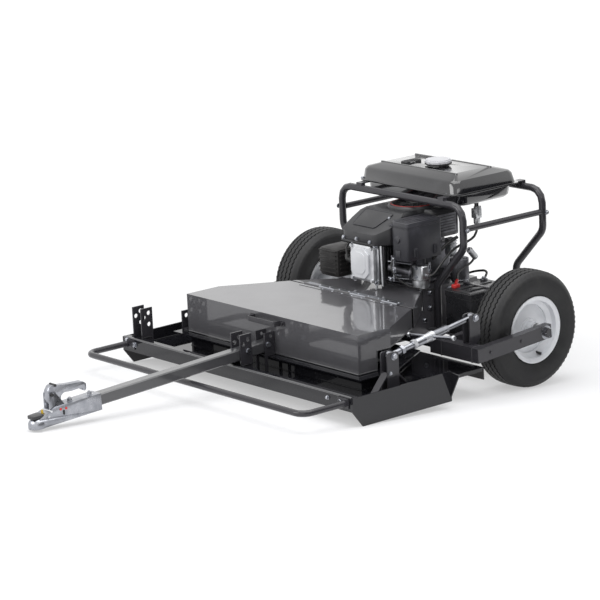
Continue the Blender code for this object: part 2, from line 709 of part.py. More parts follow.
def coupler():
    fit = BAR_SIZE / 2 + BAR_FIT
    half = fit + COUPLER_WALL
    lid = BAR_SIZE / 2 + GAP
    top = lid + COUPLER_WALL
    bend = LEVER_Y + 0.008
    front = SOCKET_Y + 0.030
    body = plate("X", (-half, half), [
        (COUPLER_REAR, top), (COUPLER_REAR, COUPLER_LOW), (SOCKET_Y, COUPLER_LOW), (SOCKET_Y,
                                                                                    SOCKET_TOP - 0.003),
        (front, SOCKET_TOP + 0.008), (bend, top)])
    hollow = plate("X", (-fit, fit), [
        (COUPLER_REAR + 0.01, lid), (COUPLER_REAR + 0.01, COUPLER_LOW - 0.02), (SOCKET_Y, COUPLER_LOW - 0.02),
        (SOCKET_Y, SOCKET_TOP - 0.003 - COUPLER_WALL), (front, SOCKET_TOP + 0.008 - COUPLER_WALL), (bend,
                                                                                                    lid)])
    dome = turned([
        (0, SOCKET_TOP), (0.010, SOCKET_TOP - 0.001), (0.018, SOCKET_TOP - 0.005), (0.025,
                                                                                    SOCKET_TOP - 0.012),
        (SOCKET_R, SOCKET_TOP - 0.021), (SOCKET_R, COUPLER_LOW), (0, COUPLER_LOW)], (0, SOCKET_Y, 0))
    cheek = rounded([
        (SOCKET_Y + 0.045, 0.0145, 0), (bend, top - BITE, 0), (LEVER_Y + 0.049, top - BITE, 0),
        (LEVER_Y + 0.014, LEVER_Z + 0.007, 0), (LEVER_Y - 0.011, LEVER_Z + 0.007, 0)], [0, 0, 0, 0.006,
                                                                                        0.006], 3)
    eye = circle(LEVER_Y, LEVER_Z, LEVER_PIN_R + GAP, 12)
    cheeks = gathered([plate("X", sorted((side * CHEEK_IN, side * (CHEEK_IN + COUPLER_WALL))), cheek, [eye])
                       for side in (1, -1)])
    bolts = gathered([rod((0, y, -lid - 0.006), (0, y, top + 0.012), BOLT_R) for y in COUPLER_BOLTS])
    nuts = gathered([rod((0, y, z), (0, y, z + rise), 0.0092, sides=6)
                     for y in COUPLER_BOLTS for z, rise in ((top - 0.001, 0.009), (-lid - 0.0065, 0.0062))])
    reach = BALL_R + 0.0005
    socket = turned([(reach * math.sin(math.radians(a)), BALL_Z + reach * math.cos(math.radians(a)))
                     for a in range(0, 91, 15)] + [(reach, COUPLER_LOW - 0.01), (0, COUPLER_LOW - 0.01)],
                    (0, SOCKET_Y, 0))
    jaw_pin = bore((-0.04, JAW_Y, JAW_Z), (0.04, JAW_Y, JAW_Z), JAW_PIN_R + GAP)
    node("coupler_body", bar, ZINC, [body, dome], [hollow, socket, jaw_pin], [cheeks, bolts, nuts])


def coupler_moving_parts():
    """The lever turns on a pin in the cheeks. The clamp turns on a pin in the channel and holds the ball
    from behind."""
    grip = rounded([
        (-0.012, -0.014, 0), (-0.008, 0.014, 0), (0.005, 0.031, 0), (0.024, 0.025, 0), (0.086, 0.0155, 0),
        (0.130, 0.0115, 0), (0.143, 0.002, 0), (0.142, -0.016, 0), (0.137, -0.0225, 0), (0.131, -0.020, 0),
        (0.128, -0.008, 0), (0.084, -0.009, 0), (0.052, -0.006, 0), (0.040, -0.014, 0), (0.038, -0.030, 0),
        (0.014, -0.034, 0), (-0.008, -0.030, 0)],
        [0.004, 0.01, 0.01, 0.01, 0.02, 0.008, 0.008, 0.006, 0.002, 0.002, 0.008, 0.02, 0.01, 0.01, 0.004,
         0.008,
         0.004], 2)
    half = CHEEK_IN - 0.001
    pin = rod((-CHEEK_IN - COUPLER_WALL - 0.003, 0, 0), (CHEEK_IN + COUPLER_WALL + 0.003, 0, 0), LEVER_PIN_R)
    node("coupler_handle", coupler_lever, ZINC, [plate("X", (-half, half), grip), pin])
    back = SOCKET_Y + BALL_R + 0.001 - JAW_Y
    low = COUPLER_LOW - JAW_Z
    hook = [(back + 0.002, 0.004), (0.004, 0.004), (0.004, low), (back - 0.003, low - 0.003),
            (back - 0.004, low - 0.001), (back + 0.002, low + 0.005)]
    reach = BAR_SIZE / 2 + BAR_FIT
    pin = rod((-reach - COUPLER_WALL + GAP, 0, 0), (reach + COUPLER_WALL - GAP, 0, 0), JAW_PIN_R)
    node("coupler_clamp_jaw", coupler_clamp, ZINC, [plate("X", (-0.017, 0.017), hook), pin])


lid_hinge = empty("lid_hinge", (0, HINGE_Y, HINGE_Z), machine)


def beyond(one, other, reach):
    """The point that lies past the second one on the line from the first."""
    along = (Vector(other) - Vector(one)).normalized()
    return tuple(Vector(other) + along * reach)


def both_halves(half):
    return half + [(-x, y) for x, y in reversed(half)]


def from_hinge(outline):
    return [(x, y - HINGE_Y) for x, y, *_ in outline]


def knuckles(first):
    """Every other length of the hinge barrel."""
    count = 6
    length = 2 * HINGE_HALF / count
    return [(-HINGE_HALF + i * length + 0.0005, -HINGE_HALF + (i + 1) * length - 0.0005)
            for i in range(first, count, 2)]


def belt_cover():
    """The hinged lid in one piece: roof, front and side walls, with the walls cut higher behind the notch."""
    low = LID_LOW - HINGE_Z
    top = LID_TOP - HINGE_Z
    front = [(LID_HALF, LID_FRONT), (LID_HALF, LID_SHOULDER)]
    rear = (LID_REAR_HALF, LID_REAR)
    body = plate("Z", (low, top), from_hinge(both_halves([*front, rear])))
    inner = inset(both_halves([*front, beyond(front[1], rear, 0.02)]), LID_SHEET)
    hollow = plate("Z", (low - 0.02, top - LID_SHEET), from_hinge(inner))
    notch = box((-LID_HALF - 0.02, LID_HALF + 0.02), (LID_NOTCH - HINGE_Y, 0.02),
                (low - 0.02, LID_NOTCH_Z - HINGE_Z))
    handle_holes = gathered([bore((x, LID_FRONT - HINGE_Y - 0.02, HANDLE_Z - HINGE_Z),
                                  (x, LID_FRONT - HINGE_Y + 0.02, HANDLE_Z - HINGE_Z), 0.0033)
                             for x in HANDLE_FEET])
    leaf = box((-HINGE_HALF, HINGE_HALF), (LID_REAR - HINGE_Y - 0.020, LID_REAR - HINGE_Y + 0.001),
               (top - 0.0005, top + 0.0015))
    barrels = gathered([rod((a, 0, 0), (b, 0, 0), HINGE_R) for a, b in knuckles(0)])
    pin = rod((-HINGE_HALF, 0, 0), (HINGE_HALF, 0, 0), 0.0014)
    clear = gathered([bore((a - 0.0008, 0, 0), (b + 0.0008, 0, 0), HINGE_R + 0.0006)
                      for a, b in knuckles(1)])
    node("belt_cover", lid_hinge, BLACK, [body, leaf], [hollow, notch, handle_holes, clear], [barrels, pin])
    leaf = box((-HINGE_HALF, HINGE_HALF), (REAR_COVER_FRONT - HINGE_Y, REAR_COVER_FRONT - HINGE_Y + 0.024),
               (LID_TOP - HINGE_Z + GAP, LID_TOP - HINGE_Z + 0.002))
    strip = box((-HINGE_HALF, HINGE_HALF), (0.001, REAR_COVER_FRONT - HINGE_Y + 0.002),
                (LID_TOP - HINGE_Z + GAP, LID_TOP - HINGE_Z + 0.002))
    clear = gathered([bore((a - 0.0008, 0, 0), (b + 0.0008, 0, 0), HINGE_R + 0.0006)
                      for a, b in knuckles(0)])
    barrels = gathered([rod((a, 0, 0), (b, 0, 0), HINGE_R) for a, b in knuckles(1)])
    hole = bore((-HINGE_HALF - 0.01, 0, 0), (HINGE_HALF + 0.01, 0, 0), 0.0018)
    node("cover_hinge_leaf", lid_hinge, BLACK, [leaf, strip, barrels], [clear, hole])


def cover_handle():
    face = LID_FRONT - HINGE_Y - GAP
    z = HANDLE_Z - HINGE_Z
    left, right = HANDLE_FEET
    front = face - HANDLE_REACH
    outer = rounded([(left - 0.012, face, 0), (left - 0.012, face - 0.003, 0),
                     (left + 0.008, face - 0.003, 0),
                     (left + 0.008, front, 0), (right - 0.008, front, 0), (right - 0.008, face - 0.003, 0),
                     (right + 0.012, face - 0.003, 0), (right + 0.012, face, 0), (right - 0.011, face, 0),
                     (right - 0.011, front + 0.003, 0), (left + 0.011, front + 0.003, 0), (left + 0.011,
                                                                                           face, 0)],
                    [0, 0, 0.002, 0.006, 0.006, 0.002, 0, 0, 0.001, 0.003, 0.003, 0.001], 2)
    strap = plate("Z", (z - 0.009, z + 0.009), outer)
    bolts = gathered([rod((x, face - 0.008, z), (x, face - 0.002, z), 0.006, sides=6) for x in HANDLE_FEET])
    shanks = gathered([rod((x, face - 0.003, z), (x, face + LID_SHEET + 0.006, z), 0.003)
                       for x in HANDLE_FEET])
    node("cover_handle", lid_hinge, FRAME_BLACK, [strap, bolts, shanks])


def rear_cover():
    """The fixed cover between the lid and the engine, open below, in front and towards the engine."""
    front = (LID_REAR_HALF, REAR_COVER_FRONT)
    rear = (REAR_COVER_HALF, REAR_COVER_END)
    body = plate("Z", (REAR_COVER_LOW, LID_TOP), both_halves([front, rear]))
    inner = inset(both_halves([beyond(rear, front, 0.02), rear]), LID_SHEET)
    hollow = plate("Z", (REAR_COVER_LOW - 0.02, LID_TOP - LID_SHEET), inner)
    mouth = box((-REAR_COVER_HALF + 0.02, REAR_COVER_HALF - 0.02),
                (REAR_COVER_END - 0.02, REAR_COVER_END + 0.02),
                (REAR_COVER_LOW - 0.02, LID_TOP - 0.02))
    node("rear_cover", machine, BLACK, [body], [hollow, mouth])


def v_pulley(radius, hole, hub_low, hub_high=0.014):
    """A pulley with one V groove, centred on the belt plane."""
    rim = radius - 0.016
    return turned([
        (hole, hub_high), (0.022, hub_high), (0.022, 0.004), (rim, 0.004), (rim, 0.011), (radius, 0.011),
        (radius, 0.0085), (radius - GROOVE, 0.0045), (radius - GROOVE, -0.0045), (radius, -0.0085),
        (radius, -0.011), (rim, -0.011), (rim, -0.004), (0.022, -0.004), (0.022, hub_low), (hole, hub_low),
        (hole, hub_high)])


def spindle(side, x, y):
    """Housing bolted to the deck, and the turning shaft with its pulley above and its blade below."""
    top = 0.238
    flange = TABLE_TOP + GAP
    inner = SPINDLE_R + 0.0006
    housing = turned([
        (inner, top), (0.022, top), (0.022, 0.200), (0.033, 0.188), (0.036, flange + 0.008), (0.060,
                                                                                              flange + 0.008),
        (0.060, flange), (BOSS_R, flange), (BOSS_R, 0.118), (0.026, 0.108), (inner, 0.108), (inner, top)],
        (x, y, 0))
    bolts = gathered([rod((x + 0.048 * math.cos(a), y + 0.048 * math.sin(a), flange + 0.006),
                           (x + 0.048 * math.cos(a), y + 0.048 * math.sin(a), flange + 0.014), 0.007, sides=6)
                      for a in (math.radians(45 + 90 * i) for i in range(4))])
    node("spindle_housing_" + side, machine, CAST, [housing, bolts])
    turning = empty("spindle_" + side, (x, y, BELT_Z), machine)
    low = BLADE_Z + BLADE_THICK + GAP - BELT_Z
    shaft = turned([
        (0, 0.024), (0.009, 0.024), (SPINDLE_R, 0.020), (SPINDLE_R, low + 0.010), (0.030,
                                                                                   low + 0.006), (0.030,
                                                                                                  low),
        (0.008 - GAP, low), (0.008 - GAP, low - 0.010), (0, low - 0.010)], steps=16)
    node("spindle_shaft_" + side, turning, DARK_STEEL, [shaft])
    node("spindle_pulley_" + side, turning, DARK_STEEL,
         [v_pulley(SPINDLE_PULLEY_R, SPINDLE_R + GAP, top + 0.0005 - BELT_Z)])
    blade(side, turning)


def blade(side, turning):
    """A flat bar with ground cutting edges and a lifted trailing edge at each tip."""
    half = BLADE_WIDTH / 2
    z = BLADE_Z - BELT_Z
    tip = math.sqrt(BLADE_REACH ** 2 - half ** 2)
    outline = [(-tip, -half + 0.012), (-tip + 0.075, -half + 0.012), (-tip + 0.090, -half), (tip, -half),
               (tip, half - 0.012), (tip - 0.075, half - 0.012), (tip - 0.090, half), (-tip, half)]
    bar_shape = plate("Z", (z, z + BLADE_THICK), outline, [circle(0, 0, 0.008)])
    sail_top = REAR_SIDE_LOW - SAIL_CLEAR - BELT_Z
    sails = gathered([moved(box((0.200, tip - 0.001), (-half, -half + 0.010), (z + BITE, sail_top)),
                            (0, 0, 0), turn)
                      for turn in (0, math.pi)])
    node("blade_" + side, turning, DARK_STEEL, [bar_shape, sails])


def tangent_loop(circles, arc_steps=8):
    """The closed path round the circles (x, y, radius): a negative radius is passed on its other side."""
    count = len(circles)
    headings = []
    for i in range(count):
        x1, y1, r1 = circles[i]
        x2, y2, r2 = circles[(i + 1) % count]
        headings.append(math.atan2(y2 - y1, x2 - x1) + math.asin((r1 - r2) / math.hypot(x2 - x1, y2 - y1)))
    path = []
    for i in range(count):
        x, y, r = circles[i]
        sweep = (headings[i] - headings[i - 1]) % math.tau
        if r < 0:
            sweep -= math.tau
        for step in range(arc_steps + 1):
            angle = headings[i - 1] + sweep * step / arc_steps
            inward = Vector((-math.sin(angle), math.cos(angle)))
            path.append((Vector((x, y)) - inward * r, inward))
    return path


def drive_belt():
    """A V belt swept along the tangent loop of its pulleys."""
    depth = GROOVE / 2
    crank = (0, CRANK_Y, CRANK_PULLEY_R - depth)
    right = (*SPINDLES[1], SPINDLE_PULLEY_R - depth)
    left = (*SPINDLES[0], SPINDLE_PULLEY_R - depth)
    idler = (IDLER_X, IDLER_Y, -(IDLER_R + BELT_THICK / 2 + GAP))
    shape = bmesh.new()
    rings = []
    half = BELT_THICK / 2
    for point, inward in tangent_loop([crank, right, left, idler]):
        section = []
        for shift, rise in ((half, 0.0037), (half, -0.0037), (-half, -BELT_TALL / 2), (-half, BELT_TALL / 2)):
            place = point + inward * shift
            section.append(shape.verts.new((place.x, place.y, BELT_Z + rise)))
        rings.append(section)
    for i, ring in enumerate(rings):
        after = rings[(i + 1) % len(rings)]
        for j in range(4):
            k = (j + 1) % 4
            shape.faces.new((ring[j], ring[k], after[k], after[j]))
    node("drive_belt", machine, RUBBER, [from_bmesh("belt", shape)])


def idler():
    z = IDLER_ARM_Z
    along = Vector((IDLER_X - IDLER_POST_X, IDLER_Y - IDLER_POST_Y, 0))
    angle = math.atan2(along.y, along.x)
    outline = rounded([(-0.018, -0.018, 0), (along.length + 0.016, -0.014, 0),
                       (along.length + 0.016, 0.014, 0),
                       (-0.018, 0.018, 0)], 0.0135, 3)
    strip = plate("Z", (z, z + 0.006), outline, [circle(0, 0, 0.006 + GAP, 12)])
    strip = moved(strip, (IDLER_POST_X, IDLER_POST_Y, 0), angle)
    pin = rod((IDLER_X, IDLER_Y, z + 0.003), (IDLER_X, IDLER_Y, BELT_Z + 0.014), 0.005)
    node("idler_arm", machine, DARK_STEEL, [strip, pin])
    wheel = empty("idler", (IDLER_X, IDLER_Y, BELT_Z), machine)
    profile = [(0.0056, 0.011), (0.012, 0.011), (0.014, 0.004), (0.026, 0.004), (0.028, 0.009),
               (IDLER_R, 0.010),
               (IDLER_R, -0.010), (0.028, -0.009), (0.026, -0.004), (0.014, -0.004), (0.012, -0.0115),
               (0.0056, -0.0115), (0.0056, 0.011)]
    node("idler_pulley", wheel, DARK_STEEL, [turned(profile)])


def crank_parts():
    crank = empty("crank", (0, CRANK_Y, BELT_Z), machine)
    shaft = turned([(0, 0.088), (0.010, 0.088), (SPINDLE_R, 0.084), (SPINDLE_R, -0.016), (0.008, -0.018),
                    (0, -0.018)],
                   steps=16)
    node("crank_pulley", crank, DARK_STEEL, [v_pulley(CRANK_PULLEY_R, SPINDLE_R - BITE, -0.014), shaft])


def engine_stand():
    """Two side plates joined by the engine plate and a rear cross plate, with the torsion shaft's
    bearings."""
    outline = [(STAND_FRONT, TABLE_TOP + GAP), (TABLE_REAR + 0.004, TABLE_TOP + GAP),
               (TABLE_REAR + 0.004, STAND_LOW),
               (STAND_REAR, STAND_LOW), (STAND_REAR, 0.240), (0.130, STAND_TOP), (STAND_NECK, STAND_TOP),
               (STAND_NECK, STAND_SHOULDER), (STAND_FRONT + 0.020, STAND_SHOULDER), (STAND_FRONT, 0.200)]
    outer = STAND_IN + STAND_SHEET
    plates = gathered([plate("X", sorted((side * STAND_IN, side * outer)), outline) for side in (1, -1)])
    deck_plate = box((-outer, outer), (STAND_NECK, 0.130), (STAND_TOP - BITE, ENGINE_FLOOR - GAP))
    cross = box((-STAND_IN - BITE, STAND_IN + BITE), (0.286, 0.292), (STAND_LOW + 0.02, 0.236))
    bushes = gathered([rod((side * (STAND_IN - 0.010), PIVOT_Y, PIVOT_Z),
                           (side * (outer + 0.010), PIVOT_Y, PIVOT_Z),
                           SHAFT_R + 0.010) for side in (1, -1)])
    face = HOOP_NARROW - CAGE_R - GAP
    pads = gathered([box(sorted((side * (outer - BITE), side * face)), (y - 0.012, y + 0.012), span)
                     for side in (1, -1) for y, span in ((HOOP_FRONT, (0.170, 0.290)),
                                                         (HOOP_REAR, (0.165, 0.235)))])
    shelf = box((outer - BITE, BATTERY_X + BATTERY_W + 0.005), (BATTERY_FRONT - 0.005, BATTERY_REAR + 0.005),
                (BATTERY_LOW - 0.0053, BATTERY_LOW - GAP))
    hole = bore((-0.3, PIVOT_Y, PIVOT_Z), (0.3, PIVOT_Y, PIVOT_Z), SHAFT_R + SHAFT_RUN)
    crank_hole = bore((0, CRANK_Y, STAND_TOP - 0.02), (0, CRANK_Y, STAND_TOP + 0.02), 0.030)
    notch = bore((HOOP_NARROW, HOOP_FRONT, BATTERY_LOW - 0.03), (HOOP_NARROW, HOOP_FRONT, BATTERY_LOW + 0.03),
                CAGE_R + GAP)
    node("engine_stand", machine, FRAME_BLACK, [plates, deck_plate, cross, bushes, pads, shelf],
         [hole, crank_hole, notch])


def hoop(name, y, tab_y):
    route = rounded([
        (HOOP_NARROW, y, HOOP_FOOT), (HOOP_NARROW, y, HOOP_KNEE_LOW), (HOOP_WIDE, y, HOOP_KNEE_HIGH),
        (HOOP_WIDE, y, HOOP_TOP), (-HOOP_WIDE, y, HOOP_TOP), (-HOOP_WIDE, y, HOOP_KNEE_HIGH),
        (-HOOP_NARROW, y, HOOP_KNEE_LOW), (-HOOP_NARROW, y, HOOP_FOOT)],
        [0, 0.05, 0.05, HOOP_CORNER, HOOP_CORNER, 0.05, 0.05, 0], 3, closed=False)
    inward = 1 if tab_y > y else -1
    under = SEAM_Z - GAP
    tab = [(y - inward * 0.008, HOOP_TOP), (y - inward * 0.008, under), (tab_y, under),
           (tab_y, under - 0.004),
           (y + inward * 0.010, under - 0.004), (y + inward * 0.010, HOOP_TOP)]
    tabs = gathered([plate("X", (x - 0.014, x + 0.014), tab) for x in (TAB_X, -TAB_X)])
    node(name, machine, FRAME_BLACK, [tube(route, CAGE_R, 3), tabs])


def cage():
    hoop("front_hoop", HOOP_FRONT, TANK_FRONT + 0.025)
    hoop("rear_hoop", HOOP_REAR, TANK_REAR - 0.030)
    for name, side in (("left", 1), ("right", -1)):
        x = side * HOOP_WIDE
        ends = (HOOP_FRONT + CAGE_R + GAP, HOOP_REAR - CAGE_R - GAP)
        node("cage_side_tube_" + name, machine, FRAME_BLACK,
             [rod((x, ends[0], SIDE_TUBE_Z), (x, ends[1], SIDE_TUBE_Z), SIDE_TUBE_R)])


def slab_ring(half, front, rear, radius, z, steps=3):
    ring = rounded([(-half, front, z), (half, front, z), (half, rear, z), (-half, rear, z)], radius, steps)
    return ring


def fuel_tank():
    """Pressed upper and lower halves on a seam flange, with the filler neck, gauge and tap on the body."""
    upper = loft([
        slab_ring(TANK_HALF - 0.008, TANK_FRONT + 0.006, TANK_REAR - 0.008, 0.034, SEAM_Z + BITE),
        slab_ring(TANK_HALF - 0.012, TANK_FRONT + 0.012, TANK_REAR - 0.020, 0.034, TANK_SHOULDER - 0.010),
        slab_ring(TANK_HALF - 0.020, TANK_FRONT + 0.020, TANK_REAR - 0.030, 0.030, TANK_SHOULDER),
        slab_ring(TANK_HALF - 0.075, TANK_FRONT + 0.065, TANK_REAR - 0.080, 0.020, TANK_CROWN)])
    seam = loft([slab_ring(TANK_HALF, TANK_FRONT, TANK_REAR, 0.036, z) for z in (SEAM_Z,
                                                                                 SEAM_Z + SEAM_THICK)])
    lower = loft([
        slab_ring(TANK_HALF - 0.008, TANK_FRONT + 0.034, TANK_REAR - 0.038, 0.030, SEAM_Z + BITE),
        slab_ring(TANK_HALF - 0.014, TANK_FRONT + 0.036, TANK_REAR - 0.040, 0.030, TANK_LOW + 0.010),
        slab_ring(TANK_HALF - 0.024, TANK_FRONT + 0.046, TANK_REAR - 0.050, 0.024, TANK_LOW)])
    ribs = gathered([
        loft([slab_ring(0.205, y - 0.009, y + 0.009, 0.008, TANK_SHOULDER - 0.004),
              slab_ring(0.198, y - 0.005, y + 0.005, 0.004, TANK_CROWN + 0.002)])
        for y in (TANK_FRONT + 0.068, TANK_REAR - 0.092)])
    neck = turned([(0, CAP_TOP - 0.016), (CAP_R - 0.006, CAP_TOP - 0.016),
                   (CAP_R - 0.006, TANK_CROWN - 0.004),
                   (0, TANK_CROWN - 0.004)], (CAP_X, CAP_Y, 0), steps=24)
    filler = bore((CAP_X, CAP_Y, TANK_CROWN - 0.020), (CAP_X, CAP_Y, CAP_TOP), CAP_R - 0.012)
    gauge = turned([(0, TANK_CROWN + 0.007), (0.015, TANK_CROWN + 0.007), (0.019, TANK_CROWN + 0.004),
                    (0.019, TANK_CROWN - 0.004), (0, TANK_CROWN - 0.004)], (GAUGE_X, GAUGE_Y, 0), steps=12)
    tap = gathered([rod((TAP_X, TAP_Y, TAP_Z), (TAP_X, TAP_Y, TANK_LOW + 0.004), 0.008)])
    tap_body = box((TAP_X - 0.014, TAP_X + 0.012), (TAP_Y - 0.013, TAP_Y + 0.013),
                   (TAP_Z - 0.030, TAP_Z + 0.004), 0.003, 1)
    spigot = rod((TAP_X, TAP_Y, TAP_Z - 0.050), (TAP_X, TAP_Y, TAP_Z - 0.028), 0.004)
    lever_hole = bore((TAP_X + 0.004, TAP_Y, TAP_Z - 0.014), (TAP_X + 0.02, TAP_Y, TAP_Z - 0.014), 0.0043)
    node("fuel_tank", machine, TANK_BLACK, [upper, seam, lower, ribs, neck, gauge, tap, tap_body, spigot],
         [filler, lever_hole])
    cap = empty("cap", (CAP_X, CAP_Y, CAP_TOP), machine)
    inner = CAP_R - 0.006 + GAP
    profile = [(0, 0), (CAP_R * 0.62, 0), (CAP_R - 0.004, -0.002), (CAP_R, -0.006), (CAP_R, -0.020),
               (inner, -0.020),
               (inner, -0.016 + GAP), (0, -0.016 + GAP)]
    grip = gathered([moved(box((CAP_R - BITE, CAP_R + 0.0025), (-0.0045, 0.0045), (-0.0195, -0.0065)),
                           (0, 0, 0),
                           math.tau * i / 8) for i in range(8)])
    node("tank_cap", cap, PLASTIC, [turned(profile, steps=24), grip])
    lever = empty("tap_lever", (TAP_X + 0.012, TAP_Y, TAP_Z - 0.014), machine)
    stem = rod((-0.006, 0, 0), (0.006, 0, 0), 0.004)
    arm = plate("X", (0.003, 0.007), rounded([(-0.006, -0.006, 0), (0.006, -0.006, 0), (0.0045, 0.030, 0),
                                              (-0.0045, 0.030, 0)], 0.003, 2))
    node("fuel_tap_lever", lever, RED, [arm, stem])


def fuel_hose():
    """From the tap's spigot forward and down to the carburettor's inlet."""
    route = [(TAP_X, TAP_Y, TAP_Z - 0.051), (TAP_X, TAP_Y, 0.490), (0.200, 0.085, 0.468),
             (0.208, 0.045, 0.458),
             (0.210, 0.000, 0.450), (0.210, -0.045, 0.432), (0.210, -0.085, 0.402), (0.208, -0.115, 0.374),
             (0.198, CARB_Y + 0.001, 0.3625), (CARB_X + 0.0330, CARB_Y, 0.362)]
    node("fuel_hose", machine, RUBBER, [tube(smooth_route(route, 2), 0.0045, 2)])


def smooth_route(points, steps):
    """A Catmull-Rom curve through the points."""
    points = [Vector(point) for point in points]
    padded = [points[0] * 2 - points[1], *points, points[-1] * 2 - points[-2]]
    path = [points[0]]
    for i in range(1, len(padded) - 2):
        a, b, c, d = padded[i - 1:i + 3]
        for step in range(1, steps + 1):
            t = step / steps
            path.append((b * 2 + (c - a) * t + (a * 2 - b * 5 + c * 4 - d) * t ** 2
                         + (b * 3 - a - c * 3 + d) * t ** 3) / 2)
    return path


def engine():
    """A single-cylinder vertical-shaft engine with its cylinder facing forward."""
    base = box((-0.105, 0.105), (-0.125, 0.085), (ENGINE_FLOOR, ENGINE_FLOOR + 0.012), 0.004, 1)
    case = box((-0.090, 0.090), (-0.115, 0.075), (ENGINE_FLOOR + 0.006, 0.440), 0.016, 2)
    tower = box((-0.070, 0.070), (-0.095, 0.060), (0.430, 0.4697), 0.012, 1)
    barrel = rod((HEAD_X, -0.10, HEAD_Z), (HEAD_X, HEAD_Y + BITE, HEAD_Z), 0.042)
    fins = gathered([box((HEAD_X - 0.060, HEAD_X + 0.060),
                         (HEAD_Y + 0.004 + 0.0135 * i, HEAD_Y + 0.008 + 0.0135 * i),
                         (HEAD_Z - 0.066, HEAD_Z + 0.066)) for i in range(7)])
    face = box((HEAD_X - 0.056, HEAD_X + 0.056), (HEAD_Y + GAP, HEAD_Y + 0.005),
               (HEAD_Z - 0.062, HEAD_Z + 0.062))
    hole = bore((0, CRANK_Y, ENGINE_FLOOR - 0.01), (0, CRANK_Y, 0.360), SPINDLE_R + 0.0006)
    starter_arm = box((0.080, STARTER_X - STARTER_R + 0.006), (STARTER_Y - 0.016, STARTER_Y + 0.016),
                      (0.330, 0.350))
    seat = bore((STARTER_X, STARTER_Y, 0.300), (STARTER_X, STARTER_Y, 0.42), STARTER_R + 2 * GAP, sides=20)
    exhaust = tube([(-0.080, -0.095, 0.372), (-0.110, -0.105, 0.372), (-0.150, -0.140, 0.372),
                    (-0.175, -0.150, 0.372), (-0.200 + GAP, -0.150, 0.372)], 0.013, 2)
    intake = rod((0.020, CARB_Y, 0.364), (CARB_X - 0.0253, CARB_Y, 0.364), 0.015)
    node("engine_block", machine, CAST, [base, case, tower, barrel, fins, face, starter_arm, exhaust, intake],
         [hole, seat])
    cover = box((HEAD_X - 0.0625, HEAD_X + 0.0625), (HEAD_Y - 0.026, HEAD_Y),
                (HEAD_Z - 0.0665, HEAD_Z + 0.0665), 0.010, 2)
    flange = box((HEAD_X - 0.066, HEAD_X + 0.066), (HEAD_Y - 0.006, HEAD_Y),
                 (HEAD_Z - 0.070, HEAD_Z + 0.070), 0.002, 1)
    bolts = gathered([rod((HEAD_X + 0.052 * a, HEAD_Y - 0.031, HEAD_Z + 0.058 * b),
                           (HEAD_X + 0.052 * a, HEAD_Y - 0.020, HEAD_Z + 0.058 * b), 0.007, sides=6)
                      for a in (-1, 1) for b in (-1, 1)])
    breather = rod((HEAD_X - 0.01, HEAD_Y - 0.034, HEAD_Z + 0.010),
                   (HEAD_X - 0.01, HEAD_Y - 0.020, HEAD_Z + 0.010), 0.018)
    node("valve_cover", machine, CAST, [cover, flange, bolts, breather])


def housing_ring(shrink, z):
    outline = [(-0.136, -0.250), (0.042, -0.250), (0.084, -0.205), (0.084, -0.052), (0.128, -0.034),
               (0.128, 0.075),
               (0.080, 0.122), (-0.085, 0.122), (-0.142, 0.065), (-0.142, -0.130)]
    radii = [0.026, 0.030, 0.024, 0.004, 0.022, 0.040, 0.040, 0.050, 0.050, 0.050]
    middle = Vector((-0.005, -0.055))
    ring = rounded([((Vector(p) - middle) * shrink + middle).to_3d() for p in outline],
                   [r * shrink for r in radii], 3)
    return [(p.x, p.y, z) for p in ring]


def engine_top():
    low = 0.470
    shell = loft([housing_ring(1.0, low), housing_ring(1.0, 0.540), housing_ring(0.965, 0.562),
                  housing_ring(0.86, 0.572)])
    dome = turned([(0, 0.583), (0.084, 0.583), (0.092, 0.576), (0.092, 0.560), (0, 0.560)],
                  (0, CRANK_Y, 0), steps=24)
    well = bore((0, CRANK_Y, 0.552), (0, CRANK_Y, 0.60), 0.074, sides=24)
    hole = bore((0, CRANK_Y, 0.500), (0, CRANK_Y, 0.56), 0.0093)
    slope = plate("X", (-0.2, 0.2), [(-0.300, 0.478), (-0.139, 0.570), (-0.139, 0.620), (-0.300, 0.620)])
    node("blower_housing", machine, PLASTIC, [shell, dome], [well, hole, slope])
    screen = empty("screen", (0, CRANK_Y, 0.552), machine)
    disc = turned([(0, 0.026), (0.045, 0.026), (0.066, 0.020), (0.072, 0.010), (0.072, 0.003),
                   (0.0087, 0.003),
                   (0.0087, -0.030), (0, -0.030)], steps=24)
    slots = gathered([moved(box((0.020, 0.060), (-0.004, 0.004), (0.012, 0.04)), (0, 0, 0), math.tau * i / 8)
                      for i in range(8)])
    node("flywheel_screen", screen, RED, [disc], [slots])


